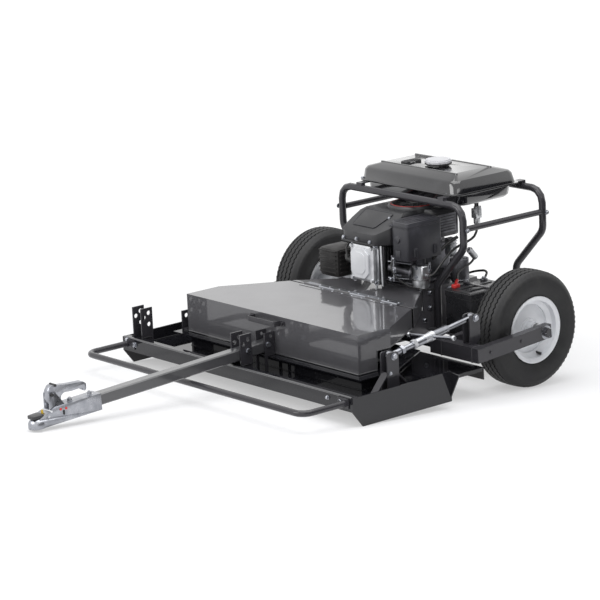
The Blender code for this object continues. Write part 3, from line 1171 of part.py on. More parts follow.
def engine_sides():
    """Air cleaner, carburettor, silencer and starter round the crankcase."""
    outline = rounded([(0.0903, -0.222, 0), (0.185, -0.222, 0), (0.185, -0.0545, 0), (0.0903, -0.0545, 0)],
                      [0.030, 0.012, 0.012, 0.012], 3)
    cleaner = plate("Z", (0.425, 0.562), outline)
    knob = rod((0.137, -0.228, 0.500), (0.137, -0.218, 0.500), 0.012)
    neck = rod((CARB_X, CARB_Y, 0.3963), (CARB_X, CARB_Y, 0.430), 0.018, sides=20)
    node("air_cleaner", machine, PLASTIC, [cleaner, knob, neck])
    body = box((CARB_X - 0.025, CARB_X + 0.029), (CARB_Y - 0.022, CARB_Y + 0.022), (0.345, 0.396), 0.004, 1)
    bowl = turned([(0, 0.348), (0.031, 0.348), (0.031, 0.322), (0.026, 0.314), (0.008, 0.314), (0.008, 0.308),
                   (0, 0.308)], (CARB_X, CARB_Y, 0), steps=16)
    inlet = rod((CARB_X + 0.025, CARB_Y, 0.362), (CARB_X + 0.0325, CARB_Y, 0.362), 0.005)
    node("carburettor", machine, CAST, [body, bowl, inlet])
    can = box((-0.310, -0.200), (-0.215, -0.095), (0.306, 0.415), 0.018, 2)
    ribs = gathered([box((-0.3125, -0.2045), (y - 0.004, y + 0.004), (0.318, 0.403), 0.003, 1)
                     for y in (-0.185, -0.155, -0.125)])
    outlet = rod((-0.325, -0.130, 0.335), (-0.300, -0.130, 0.335), 0.014)
    node("muffler", machine, DARK_STEEL, [can, ribs, outlet])
    starter = turned([(0, 0.404), (0.012, 0.404), (0.014, 0.398), (STARTER_R - 0.004, 0.396),
                      (STARTER_R, 0.390),
                      (STARTER_R, 0.318), (STARTER_R - 0.005, 0.310), (0, 0.310)], (STARTER_X, STARTER_Y, 0))
    node("starter_motor", machine, DARK_STEEL, [starter])


def battery():
    x = (BATTERY_X, BATTERY_X + BATTERY_W)
    case = box(x, (BATTERY_FRONT, BATTERY_REAR), (BATTERY_LOW, BATTERY_TOP - 0.022), 0.004, 1)
    lid = box((x[0] - 0.002, x[1] + 0.002), (BATTERY_FRONT - 0.002, BATTERY_REAR + 0.002),
              (BATTERY_TOP - 0.040, BATTERY_TOP - 0.012), 0.004, 1)
    posts = gathered([rod((x[0] + 0.022, y, BATTERY_TOP - 0.016), (x[0] + 0.022, y, BATTERY_TOP), 0.008)
                      for y in (BATTERY_FRONT + 0.030, BATTERY_REAR - 0.030)])
    node("battery", machine, PLASTIC, [case, lid, posts])


axle = empty("axle", (0, PIVOT_Y, PIVOT_Z), machine)


def fork_arm(side, inner, outer, end):
    """A flat-sided arm whose centre line runs from the pivot to the wheel's axle."""
    along = Vector((WHEEL_Y, WHEEL_Z)).normalized()
    up = Vector((-along.y, along.x))
    corners = [along * a + up * b for a, b in
               ((-0.024, -0.024), (end, -0.024), (end, 0.024), (-0.024, 0.024))]
    return plate("X", sorted((side * inner, side * outer)), corners)


def axle_frame():
    half = CROSS_SIZE / 2
    inner = half - TUBE_WALL
    shaft = rod((-CROSS_IN - 0.004, 0, 0), (CROSS_IN + 0.004, 0, 0), SHAFT_R)
    tubes = [box(sorted((side * CROSS_IN, side * (ARM_OUT - 0.002))), (-half, half), (-half, half))
             for side in (1, -1)]
    hollows = [box(sorted((side * (CROSS_IN + TUBE_WALL), side * (ARM_OUT - ARM_THICK))), (-inner, inner),
                   (-inner, inner))
               for side in (1, -1)]
    drains = [rod((side * 0.5, 0, -half - 0.01), (side * 0.5, 0, 0), 0.004) for side in (1, -1)]
    arms = [fork_arm(side, ARM_OUT - ARM_THICK, ARM_OUT, WHEEL_Y + ARM_END) for side in (1, -1)]
    arms += [fork_arm(side, *INNER_ARM, WHEEL_Y + ARM_END) for side in (1, -1)]
    pins = [rod((side * (INNER_ARM[0] + BITE), WHEEL_Y, WHEEL_Z),
                (side * (ARM_OUT + 0.012), WHEEL_Y, WHEEL_Z), PIN_R)
            for side in (1, -1)]
    heads = [rod((side * (ARM_OUT - BITE), WHEEL_Y, WHEEL_Z),
                 (side * (ARM_OUT + 0.009), WHEEL_Y, WHEEL_Z), 0.018, sides=6)
             for side in (1, -1)]
    front = LEVER_Y_AT - 0.028
    back = LEVER_Y_AT + 0.021
    top = LEVER_Z_AT + 0.012
    lever = rounded([(front, half - 0.006, 0), (half, half - 0.006, 0), (back, half + 0.014, 0),
                     (back, top, 0),
                     (front, top, 0)], [0, 0, 0.008, 0.009, 0.009], 2)
    side_in = EYE_HALF + 0.004
    levers = [plate("X", span, lever) for span in (
        (LINK_X - side_in - LEVER_SHEET, LINK_X - side_in), (LINK_X + side_in,
                                                             LINK_X + side_in + LEVER_SHEET))]
    link_pin = rod((LINK_X - side_in - LEVER_SHEET - 0.004, LEVER_Y_AT, LEVER_Z_AT),
                   (LINK_X + side_in + LEVER_SHEET + 0.004, LEVER_Y_AT, LEVER_Z_AT), LINK_PIN_R)
    node("axle_frame", axle, FRAME_BLACK, [shaft, gathered(tubes), gathered(arms[:2]), gathered(arms[2:])],
         [gathered(hollows), gathered(drains)], [gathered(levers), link_pin, gathered(pins), gathered(heads)])


def wheel(side, x):
    centre = empty("wheel_" + side, (x, WHEEL_Y, WHEEL_Z), axle)
    half = TYRE_W / 2
    outside = [(TYRE_R, 0), (TYRE_R - 0.002, 0.030), (TYRE_R - 0.013, 0.052), (TYRE_R - 0.034, half),
               (TYRE_R - 0.062, half - 0.001), (BEAD_R, half - 0.017)]
    inside = [(BEAD_R + 0.006, half - 0.022), (TYRE_R - 0.056, half - 0.008), (TYRE_R - 0.024, half - 0.014),
              (TYRE_R - 0.012, 0)]
    section = [(r, -z) for r, z in reversed(outside)] + outside[1:] + inside
    section += [(r, -z) for r, z in reversed(inside[:-1])]
    section = section[::-1]
    section.append(section[0])
    node("tyre_" + side, centre, RUBBER, [turned(section, axis="X", steps=WHEEL_STEPS)])
    out = 1 if x > 0 else -1
    seat = BEAD_R - GAP
    inner = PIN_R + HUB_RUN
    face = half - 0.0075
    profile = [(RIM_R, face), (RIM_R, face - 0.0035), (seat, face - 0.0065), (seat, 0.026), (0.090, 0.018),
               (0.090, -0.018), (seat, -0.026), (seat, 0.0065 - face), (RIM_R, 0.0035 - face), (RIM_R, -face),
               (RIM_R - 0.0045, -face), (seat - 0.0035, 0.005 - face), (seat - 0.0035, -0.0275), (0.0865,
                                                                                                  -0.0195),
               (0.0865, 0.006), (0.034, 0.016), (HUB_R, 0.014), (HUB_R, -HUB_HALF), (inner, -HUB_HALF),
               (inner, HUB_HALF), (HUB_R, HUB_HALF), (HUB_R, 0.022), (0.034, 0.0225),
               (0.0865, 0.0105), (0.0865, 0.0195), (seat - 0.0035, 0.0275), (seat - 0.0035, face - 0.005),
               (RIM_R - 0.0045, face), (RIM_R, face)]
    if out < 0:
        profile = [(r, -z) for r, z in reversed(profile)]
    node("rim_" + side, centre, RIM_GREY, [turned(profile, axis="X", steps=WHEEL_STEPS)])


link = empty("link", (LINK_X, LINK_FRONT_Y, LINK_FRONT_Z), machine, (LINK_TILT, 0, 0))


def lift_bracket():
    """Two ears on the deck floor that hold the adjuster's front pin, each stiffened by sloped braces."""
    floor = DECK_TOP + GAP
    gap = EYE_HALF + 0.004
    front = LINK_FRONT_Y - 0.031
    back = LINK_FRONT_Y + 0.021
    top = LINK_FRONT_Z + 0.015
    ear = rounded([(front, floor, 0), (back, floor, 0), (back, top, 0), (front, top, 0)],
                  [0, 0, 0.009, 0.009], 2)
    ears = [plate("X", span, ear) for span in (
        (LINK_X - gap - LEVER_SHEET, LINK_X - gap), (LINK_X + gap, LINK_X + gap + LEVER_SHEET))]
    foot = box((LINK_X - gap - BITE, LINK_X + gap + BITE), (front + 0.004, back - 0.004),
               (floor, floor + LEVER_SHEET))
    pin = rod((LINK_X - gap - LEVER_SHEET - 0.004, LINK_FRONT_Y, LINK_FRONT_Z),
              (LINK_X + gap + LEVER_SHEET + 0.004, LINK_FRONT_Y, LINK_FRONT_Z), LINK_PIN_R)
    braces = []
    for tip, lean in ((front + 0.010, -0.004), (back - 0.010, 0.004)):
        end = tip + 16 * lean
        braces.append(plate("X", (LINK_X - gap - BITE, LINK_X + gap + BITE), [
            (tip, BRACE_TOP), (tip + lean, BRACE_TOP + 0.004), (end + lean, floor + 0.004),
            (end + 3 * lean, floor + 0.004), (end + 3 * lean, floor), (end, floor)]))
    node("lift_bracket", machine, FRAME_BLACK, [gathered(ears), foot, pin, *braces])


def link_parts():
    start, stop = LINK_BODY
    eye_bore = bore((-0.03, 0, 0), (0.03, 0, 0), LINK_PIN_R + GAP)
    eye = rod((-EYE_HALF, 0, 0), (EYE_HALF, 0, 0), EYE_R, sides=20)
    rod_front = rod((0, 0.008, 0), (0, TOMMY_AT - TOMMY_R - 0.004, 0), ROD_R)
    nut = rod((0, NUT_AT, 0), (0, NUT_AT + 0.012, 0), 0.016, sides=6)
    node("link_front_eye", link, ZINC, [eye, rod_front, nut], [eye_bore])
    turning = empty("link_turn", (0, 0, 0), link)
    inner = ROD_R + GAP
    shell = turned([
        (inner, stop), (LINK_R - 0.003, stop), (LINK_R, stop - 0.006), (LINK_R,
                                                                        start + 0.006), (LINK_R - 0.003,
                                                                                         start),
        (inner, start), (inner, stop)], axis="Y", steps=20)
    across = Vector((math.cos(TOMMY_TILT), 0, math.sin(TOMMY_TILT))) * TOMMY_HALF
    place = Vector((0, TOMMY_AT, 0))
    tommy = rod(place - across, place + across, TOMMY_R)
    node("link_body", turning, ZINC, [shell, tommy])
    rear = empty("link_slide", (0, 0, 0), link)
    eye = rod((-EYE_HALF, LINK_LENGTH, 0), (EYE_HALF, LINK_LENGTH, 0), EYE_R, sides=20)
    slack = bore((-0.03, LINK_LENGTH, 0), (0.03, LINK_LENGTH, 0), LINK_PIN_R + 0.0009)
    rod_rear = rod((0, TOMMY_AT + TOMMY_R + 0.013, 0), (0, LINK_LENGTH - 0.008, 0), ROD_R)
    node("link_rear_eye", rear, ZINC, [eye, rod_rear], [slack])


deck()
skirt("side_skirt_left", 1)
skirt("side_skirt_right", -1)
brush_bar()
hitch_brackets()
tow_bar()
coupler()
coupler_moving_parts()
belt_cover()
cover_handle()
rear_cover()
spindle("left", *SPINDLES[0])
spindle("right", *SPINDLES[1])
drive_belt()
idler()
crank_parts()
engine_stand()
cage()
fuel_tank()
fuel_hose()
engine()
engine_top()
engine_sides()
battery()
axle_frame()
wheel("left", TRACK_HALF)
wheel("right", -TRACK_HALF)
lift_bracket()
link_parts()
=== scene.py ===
# %% [markdown]
# A tow-behind brush mower: a low steel deck carries two blades, a belt drive and an engine inside a tube cage,
# and it rolls on two wheels whose axle frame swings to set the cutting height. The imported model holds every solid
# in metres, in its place. This script gives those solids their finishes and adds the detail that is too fine for
# them: tread blocks, bolts, hoses, wires and welds.

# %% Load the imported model
import math

import bmesh
import bpy
from mathutils import Matrix, Vector


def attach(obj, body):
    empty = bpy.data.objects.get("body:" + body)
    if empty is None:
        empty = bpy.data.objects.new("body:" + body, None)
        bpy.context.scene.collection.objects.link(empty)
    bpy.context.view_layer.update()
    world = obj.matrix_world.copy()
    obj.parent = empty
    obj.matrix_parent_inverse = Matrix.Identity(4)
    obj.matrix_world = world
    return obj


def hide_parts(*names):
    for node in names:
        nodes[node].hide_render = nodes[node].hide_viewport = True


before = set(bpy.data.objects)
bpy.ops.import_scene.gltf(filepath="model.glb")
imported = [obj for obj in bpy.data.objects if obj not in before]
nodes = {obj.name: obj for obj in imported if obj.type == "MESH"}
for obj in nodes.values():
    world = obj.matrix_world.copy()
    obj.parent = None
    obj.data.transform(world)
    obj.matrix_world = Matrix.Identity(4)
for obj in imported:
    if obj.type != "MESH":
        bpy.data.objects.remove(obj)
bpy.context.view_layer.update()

# %% [markdown]
# The machine was drawn level, then set down on its tyres and on the front corners of its side skirts, which tips
# its nose down by a few degrees. Everything below is written in the level machine's numbers, which are rounder and
# easier to check, and one matrix takes each finished mesh to its place.

# %% From the level machine to the ground it stands on
def move(x, y, z=0):
    return Matrix.Translation((x, y, z))


def spin(degrees, axis="Z"):
    return Matrix.Rotation(math.radians(degrees), 4, axis)


TYRE_R = 0.206
WHEEL_X = 0.5327
LINK_FRONT = move(0.555, -0.647, 0.242)
LINK_REAR = move(0.555, -0.272, 0.3)
STANCE = move(-0.004411, 0.695775, TYRE_R) @ spin(3.64737, "X") @ move(0, 0, -TYRE_R)
BAR = STANCE @ move(0, -0.826, 0.2035) @ spin(2.8624, "X") @ move(0, 0, -0.009)
LINK = STANCE @ LINK_FRONT @ spin(8.7921, "X")
print("the axle stands at", [round(c, 3) for c in STANCE @ Vector((0, 0, TYRE_R))])

# %% [markdown]
# The camera stands where the photograph was taken from: level with a person's chest, to the machine's front left,
# far away through a long lens, so the sides stay nearly parallel. Its tiny roll comes from the photograph too.

# %% The camera
AZIMUTH, ELEVATION, ROLL = 49.7285, 11.4036, 0.28
eye = bpy.data.cameras.new("photo_camera")
eye.sensor_width = 36
eye.lens = 170.52
eye.clip_end = 100
camera = bpy.data.objects.new("photo_camera", eye)
bpy.context.scene.collection.objects.link(camera)
camera.matrix_world = move(7.37566, -6.128, 2.24269) @ spin(AZIMUTH) @ spin(90 - ELEVATION, "X") @ spin(ROLL)
bpy.context.scene.camera = camera
bpy.context.scene.view_settings.view_transform = "Standard"
print("lens", eye.lens, "mm")

# %% [markdown]
# Materials are node trees, and most of their nodes are arithmetic. A small class wraps one output socket, so that
# ordinary Python signs add the Math nodes. Another class holds one tree, and its only way to add any other node is
# `node`, which takes the type, the settings and the inputs. A third one is a material with a Principled shader.

# %% Shader maths in plain Python
class Value:
    """One output in a node tree: + and * on it add Math nodes."""

    def __init__(self, tree, socket):
        self.tree = tree
        self.socket = socket

    def maths(self, operation, a, b):
        return self.tree.node("ShaderNodeMath", {"operation": operation}, {0: a, 1: b})

    def __add__(self, other):
        return self.maths("ADD", self, other)

    __radd__ = __add__

    def __mul__(self, other):
        return self.maths("MULTIPLY", self, other)

    __rmul__ = __mul__

    def most(self, other):
        return self.maths("MAXIMUM", self, other)

    def step(self, low, high, bottom=0):
        """Bottom below low and 1 above high, smooth between."""
        return self.tree.node("ShaderNodeMapRange", {"interpolation_type": "SMOOTHSTEP"},
                              {"Value": self, "From Min": low, "From Max": high, "To Min": bottom})


class Tree:
    """A node tree and the one way to add a node to it."""

    def __init__(self, tree):
        self.tree = tree

    def node(self, kind, settings=None, inputs=None, output=0):
        found = self.tree.nodes.new(kind)
        for key, value in (settings or {}).items():
            setattr(found, key, value)
        for key, value in (inputs or {}).items():
            if isinstance(value, Value):
                self.tree.links.new(value.socket, found.inputs[key])
            else:
                found.inputs[key].default_value = value
        return Value(self, found.outputs[output])


class Paint(Tree):
    """One material: a Principled shader and what feeds it."""

    def __init__(self, name, colour, roughness, metallic=0.0, coat=0.0, coat_roughness=0.05):
        self.made = bpy.data.materials.new(name)
        self.made.use_nodes = True
        super().__init__(self.made.node_tree)
        self.shader = self.tree.nodes["Principled BSDF"]
        self.made.diffuse_color = (*colour, 1)
        for key, value in (("Base Color", (*colour, 1)), ("Roughness", roughness), ("Metallic", metallic),
                           ("Coat Weight", coat), ("Coat Roughness", coat_roughness)):
            self.shader.inputs[key].default_value = value
        self.place = self.node("ShaderNodeTexCoord", output="Object")

    def noise(self, scale, detail, roughness=0.5):
        return self.node("ShaderNodeTexNoise", inputs={"Vector": self.place, "Scale": scale, "Detail": detail,
                                                       "Roughness": roughness})

    def tint(self, mask, low, high):
        """A colour that runs from low to high with the mask."""
        return self.node("ShaderNodeMix", {"data_type": "RGBA"}, {0: mask, 6: (*low, 1), 7: (*high, 1)}, output=2)

    def feed(self, **links):
        for key, value in links.items():
            self.tree.links.new(value.socket, self.shader.inputs[key.replace("_", " ").title()])

    def bump(self, height, distance, strength):
        self.feed(normal=self.node("ShaderNodeBump", inputs={"Height": height, "Distance": distance,
                                                             "Strength": strength}))


print("shader helpers ready")

# %% [markdown]
# The photograph was taken in a white studio. A pale floor and a pale world stand in for it. The floor and the world
# look white to the camera, and to metal and gloss that mirror them, but they light the machine at a plain level, so
# that black paint stays black. The floor's own white share grows with the distance from the machine: near it the
# shadow shows, and far from it floor and backdrop meet without a line. Broad area lamps give the soft shadow under
# the deck.

# %% Floor, backdrop and lamps
NEAR_FLOOR = 0.9
FAR_FLOOR = 2.3
NEAR_SHARE = 0.4
GLOW = 1.1


def white_to_the_eye(kit, lit, glow_kind, share, out):
    """Mixes a plain white glow over a shader, for camera, glossy and transmission rays."""
    camera_ray, glossy_ray, clear_ray = (kit.node("ShaderNodeLightPath", output=name)
                                         for name in ("Is Camera Ray", "Is Glossy Ray", "Is Transmission Ray"))
    glow = kit.node(glow_kind, inputs={"Color": (1, 1, 1, 1), "Strength": GLOW})
    factor = camera_ray.most(glossy_ray).most(clear_ray) * share
    mix = kit.node("ShaderNodeMixShader", inputs={"Fac": factor, 1: Value(kit, lit.outputs[0]), 2: glow})
    kit.tree.links.new(mix.socket, kit.tree.nodes[out].inputs["Surface"])


def new_object(name, shape, material):
    """Closes off a bmesh as an object with one material."""
    mesh = bpy.data.meshes.new(name)
    shape.to_mesh(mesh)
    shape.free()
    mesh.materials.append(material)
    obj = bpy.data.objects.new(name, mesh)
    bpy.context.scene.collection.objects.link(obj)
    return obj


world = bpy.data.worlds.new("studio")
world.use_nodes = True
bpy.context.scene.world = world
air = world.node_tree.nodes["Background"]
air.inputs["Color"].default_value = (0.96, 0.97, 1.0, 1)
air.inputs["Strength"].default_value = 0.55
white_to_the_eye(Tree(world.node_tree), air, "ShaderNodeBackground", 1.0, "World Output")

matt = Paint("studio_floor", (0.9, 0.9, 0.91), 0.9)
matt.shader.inputs["Specular IOR Level"].default_value = 0.1
away = matt.node("ShaderNodeVectorMath", {"operation": "LENGTH"}, {0: matt.place}, "Value")
white_to_the_eye(matt, matt.shader, "ShaderNodeEmission", away.step(NEAR_FLOOR, FAR_FLOOR, NEAR_SHARE),
                 "Material Output")
FLOOR_HALF = 14
ground = bmesh.new()
bmesh.ops.create_grid(ground, x_segments=1, y_segments=1, size=FLOOR_HALF)
floor = new_object("studio_floor", ground, matt.made)


def lamp(name, place, aim, size, watts):
    light = bpy.data.lights.new(name, "AREA")
    light.shape = "RECTANGLE"
    light.size, light.size_y = size
    light.energy = watts
    holder = bpy.data.objects.new(name, light)
    bpy.context.scene.collection.objects.link(holder)
    holder.location = place
    holder.rotation_euler = (Vector(aim) - Vector(place)).to_track_quat("-Z", "Y").to_euler()


lamp("overhead_softbox", (0.4, -0.2, 3.6), (0, 0, 0.2), (3.6, 3.6), 95)
lamp("left_softbox", (4.0, -1.4, 1.9), (0, 0, 0.3), (2.2, 1.8), 24)
lamp("front_softbox", (-1.0, -4.2, 2.4), (0, 0, 0.2), (3.0, 1.8), 70)
print("lamps:", len(bpy.data.lights))

# %% [markdown]
# In the photograph the faces that look left are nearly black, while those that look forward mirror something pale.
# A photographer gets that with a black card beside the set. This one is seen by gloss alone: it casts no shadow,
# lights nothing, and the camera can't see it.

# %% The black card
CARD = move(2.1, 1.2, 0.72) @ spin(90, "Y") @ Matrix.Diagonal((1.4, 6.0, 1.0, 1.0))
sheet = bmesh.new()
bmesh.ops.create_grid(sheet, x_segments=1, y_segments=1, size=0.5, matrix=CARD)
card = new_object("black_card", sheet, Paint("black_card", (0.02, 0.02, 0.02), 1.0).made)
card.visible_camera = card.visible_diffuse = card.visible_shadow = card.visible_transmission = False
print("the card's middle stands at", [round(v, 2) for v in CARD.translation])

# %% [markdown]
# Powder coat covers most of the machine. It flows out almost smooth, so what betrays it is a faint ripple in its
# reflections, called orange peel, and a gloss that varies a little from place to place. The deck is the glossiest,
# the belt cover is a shade greyer under a clear gloss, and the tubes and brackets are satin.

# %% Painted steel
PEEL = 0.00003


def powder_coat(name, colour, gloss, coat, haze=0.05, under=0.1):
    paint = Paint(name, colour, gloss, coat=coat, coat_roughness=haze)
    paint.shader.inputs["Specular IOR Level"].default_value = under
    drift = paint.noise(7, 2)
    lighter = tuple(c * 1.35 + 0.002 for c in colour)
    paint.feed(roughness=gloss - 0.05 + drift * 0.1, base_color=paint.tint(paint.noise(11, 4), colour, lighter))
    paint.bump(paint.noise(420, 2), PEEL, 0.35)
    return paint.made


DECK_BLACK = powder_coat("deck_black", (0.008, 0.008, 0.01), 0.24, coat=1.0, haze=0.04, under=0.0)
COVER_GREY = powder_coat("cover_grey", (0.072, 0.071, 0.076), 0.3, coat=0.9, under=0.2)
SATIN_BLACK = powder_coat("satin_black", (0.028, 0.027, 0.031), 0.36, coat=0.7, haze=0.14)
STAND_BLACK = powder_coat("stand_black", (0.06, 0.058, 0.064), 0.36, coat=0.7, haze=0.2, under=0.4)
BAR_BLACK = powder_coat("bar_black", (0.042, 0.042, 0.045), 0.34, coat=1.0, haze=0.1, under=0.5)
print("paints:", DECK_BLACK.name, COVER_GREY.name, SATIN_BLACK.name, STAND_BLACK.name, BAR_BLACK.name)

# %% [markdown]
# Bare metals need their own surface stories. Zinc plating is bright with a cloudy bloom, die-cast aluminium is pale
# with a sandy skin, turned steel is dark and smooth, and a hot exhaust goes brown-grey.

# %% Bare metals
def metal(name, dark, bright, gloss, cloud=45, grain=900, depth=0.00004, metallic=1.0):
    paint = Paint(name, bright, gloss, metallic)
    mist = paint.noise(cloud, 4, roughness=0.6).step(0.3, 0.7)
    paint.feed(base_color=paint.tint(mist, dark, bright), roughness=gloss + 0.06 + mist * -0.1)
    paint.bump(paint.noise(grain, 3), depth, 0.5)
    return paint.made


ZINC = metal("zinc_plate", (0.32, 0.33, 0.36), (0.42, 0.43, 0.46), 0.3, cloud=30)
ALLOY = metal("cast_alloy", (0.52, 0.53, 0.55), (0.76, 0.77, 0.79), 0.42, cloud=25, grain=650, depth=0.0001)
DARK_ALLOY = metal("dark_alloy", (0.1, 0.1, 0.11), (0.22, 0.22, 0.24), 0.46, cloud=20, grain=650, depth=0.0001,
                   metallic=0.8)
STEEL = metal("machined_steel", (0.2, 0.2, 0.21), (0.36, 0.36, 0.37), 0.34, cloud=30)
EXHAUST = metal("hot_steel", (0.016, 0.015, 0.015), (0.04, 0.038, 0.037), 0.5, cloud=18, metallic=0.4)
IRON = metal("painted_iron", (0.02, 0.02, 0.021), (0.04, 0.04, 0.042), 0.5, grain=420, depth=0.0002, metallic=0.1)
SILVER = metal("silver_paint", (0.68, 0.69, 0.71), (0.78, 0.79, 0.81), 0.36, cloud=9, grain=500, metallic=0.2)
print("metals:", *(made.name for made in (ZINC, ALLOY, DARK_ALLOY, STEEL, EXHAUST, IRON, SILVER)))

# %% [markdown]
# The plastics differ in skin. The engine's covers have the fine pebbled grain of a mould that was etched, the tank
# is polished, and the filler cap is pale on top and dark at its side. Rubber is the darkest and the dullest, with
# dust in patches.

# %% Plastics and rubber
def moulded(name, colour, gloss, grain, depth, coat=0.0):
    paint = Paint(name, colour, gloss, coat=coat)
    pebble = paint.node("ShaderNodeTexVoronoi", {"feature": "SMOOTH_F1"}, {"Vector": paint.place, "Scale": grain})
    paint.bump(pebble, depth, 0.6)
    worn = paint.noise(16, 3).step(0.45, 0.75)
    lighter = tuple(c * 1.5 + 0.003 for c in colour)
    paint.feed(base_color=paint.tint(worn, colour, lighter), roughness=gloss - 0.03 + worn * 0.08)
    return paint.made


ENGINE_BLACK = moulded("engine_cover_plastic", (0.022, 0.022, 0.024), 0.4, 900, 0.00012)
FILTER_BLACK = moulded("air_cleaner_plastic", (0.028, 0.028, 0.034), 0.42, 900, 0.00012)
TANK_BLACK = moulded("tank_gloss", (0.008, 0.008, 0.01), 0.16, 300, 0.00002, coat=1.0)
CAP_BLACK = moulded("cap_plastic", (0.03, 0.03, 0.032), 0.36, 700, 0.00006)
CAP_GREY = moulded("cap_top_grey", (0.58, 0.58, 0.6), 0.34, 700, 0.00006)
BATTERY_BLACK = moulded("battery_case", (0.016, 0.016, 0.018), 0.3, 500, 0.00004)
RED = moulded("red_plastic", (0.36, 0.018, 0.016), 0.35, 600, 0.00005)
TERMINAL_RED = moulded("terminal_boot_red", (0.62, 0.03, 0.022), 0.4, 400, 0.00004)
YELLOW = moulded("yellow_plastic", (0.7, 0.46, 0.03), 0.4, 400, 0.00004)


def pale_over_dark(name, dark, pale, height, gloss):
    """Pale above a height of the level machine and dark below it."""
    paint = Paint(name, dark, gloss)
    y, z = (paint.node("ShaderNodeSeparateXYZ", inputs={"Vector": paint.place}, output=axis) for axis in (1, 2))
    row = STANCE.inverted()[2]
    above = (y * row[1] + z * row[2] + row[3]).step(height - 0.0004, height + 0.0004)
    worn = paint.noise(60, 3)
    paint.feed(base_color=paint.tint(above * (0.85 + worn * 0.2), dark, pale), roughness=gloss - 0.05 + worn * 0.1)
    paint.bump(paint.noise(700, 3), 0.00006, 0.5)
    return paint.made


# The filler cap is pale above a set height of the level machine and dark below it.
CAP_PALE_OVER_DARK = pale_over_dark("cap_pale_over_dark", (0.03, 0.03, 0.032), (0.58, 0.58, 0.6), 0.7165, 0.36)


def rubber(name, colour, dusty, gloss):
    paint = Paint(name, colour, gloss)
    dust = paint.noise(22, 5, roughness=0.6).step(0.42, 0.8)
    paint.feed(base_color=paint.tint(dust, colour, dusty), roughness=gloss - 0.04 + dust * 0.12)
    paint.bump(paint.noise(700, 3), 0.0001, 0.5)
    return paint.made


TYRE = rubber("tyre_rubber", (0.01, 0.01, 0.011), (0.024, 0.0235, 0.023), 0.62)
HOSE = rubber("hose_rubber", (0.014, 0.014, 0.014), (0.022, 0.022, 0.022), 0.45)
print("materials so far:", len(bpy.data.materials))

# %% [markdown]
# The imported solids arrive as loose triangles, shaded flat. A Weld modifier joins them again without touching their
# own points, a Decimate set to dissolve makes whole faces of them again, a small Bevel catches light along folded
# and sawn edges, and smooth shading with split sharp edges makes tubes round. Pieces folded from sheet stay flat
# shaded between their bevels, because shading smoothed over large flat faces shows as dents in their reflections.
# Each solid then takes its finish by its name.

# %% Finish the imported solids
FINISHES = {
    DECK_BLACK: "deck_shell deck_table front_beam side_skirt_left side_skirt_right",
    COVER_GREY: "belt_cover rear_cover",
    BAR_BLACK: "tow_bar",
    STAND_BLACK: "engine_stand",
    SATIN_BLACK: "brush_bar hitch_bracket_front_centre hitch_bracket_front_offset hitch_bracket_rear_centre "
                 "hitch_bracket_rear_offset cover_handle front_hoop rear_hoop cage_side_tube_left "
                 "cage_side_tube_right axle_frame lift_bracket",
    ZINC: "coupler_body coupler_handle coupler_clamp_jaw tow_bar_bolt_front tow_bar_bolt_rear link_front_eye "
          "link_body link_rear_eye cover_hinge_leaf",
    STEEL: "spindle_shaft_left spindle_shaft_right spindle_pulley_left spindle_pulley_right blade_left blade_right "
           "idler_arm idler_pulley crank_pulley",
    EXHAUST: "muffler",
    DARK_ALLOY: "engine_block starter_motor",
    ALLOY: "valve_cover carburettor fuel_tap_lever",
    IRON: "spindle_housing_left spindle_housing_right",
    ENGINE_BLACK: "blower_housing flywheel_screen",
    FILTER_BLACK: "air_cleaner",
    TANK_BLACK: "fuel_tank",
    CAP_PALE_OVER_DARK: "tank_cap",
    BATTERY_BLACK: "battery",
    TYRE: "tyre_left tyre_right",
    HOSE: "fuel_hose drive_belt",
    SILVER: "rim_left rim_right",
}
SHEET_WORK = ("deck_shell deck_table front_beam side_skirt_left side_skirt_right belt_cover rear_cover engine_stand "
              "axle_frame tow_bar battery lift_bracket cover_handle").split()
ROUNDED = dict.fromkeys(SHEET_WORK, 0.0015)
ROUNDED.update(front_beam=0.0018, side_skirt_left=0.0012, side_skirt_right=0.0012, tow_bar=0.001, lift_bracket=0.001,
               cover_handle=0.0008, fuel_tank=0.003, blower_housing=0.003, air_cleaner=0.002, coupler_handle=0.002,
               coupler_body=0.0006)
JOIN_WITHIN = 0.00001


def smooth(obj, width, angle=38):
    """Joins an object's points and rounds or splits its edges."""
    folded = obj.name in SHEET_WORK
    for face in obj.data.polygons:
        face.use_smooth = not folded
    obj.modifiers.new("join", "WELD").merge_threshold = JOIN_WITHIN
    if width:
        flat = obj.modifiers.new("whole_faces", "DECIMATE")
        flat.decimate_type = "DISSOLVE"
        flat.angle_limit = math.radians(1)
        edge = obj.modifiers.new("edges", "BEVEL")
        edge.width = width
        edge.segments = 3 if folded else 2
        edge.limit_method = "ANGLE"
        edge.angle_limit = math.radians(35)
        edge.harden_normals = not folded
        edge.use_clamp_overlap = True
    else:
        obj.modifiers.new("sharp", "EDGE_SPLIT").split_angle = math.radians(angle)


finish_of = {name: finish for finish, names in FINISHES.items() for name in names.split()}
for name, finish in finish_of.items():
    solid = nodes[name]
    solid.data.materials.clear()
    solid.data.materials.append(finish)
    smooth(solid, ROUNDED.get(name, 0))
print("solids without a finish:", [name for name in nodes if name not in finish_of])

# %% [markdown]
# Every new piece is a mesh made with bmesh operators in the level machine's numbers, moved to its place, given a
# finish and made to ride on a moving body. The first helpers cover the straight forms: a block with soft edges, a
# round bar, a chain of bars, and a hexagon bolt with its washer.

# %% Helpers for new pieces
FORWARD = (0, -1, 0)


def piece(name, shape, finish, body="frame", matrix=STANCE, angle=38, edge=0):
    """Closes off a bmesh as a finished object that rides on a body."""
    bmesh.ops.transform(shape, matrix=matrix, verts=shape.verts)
    obj = new_object(name, shape, finish)
    smooth(obj, edge, angle)
    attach(obj, body)
    return obj


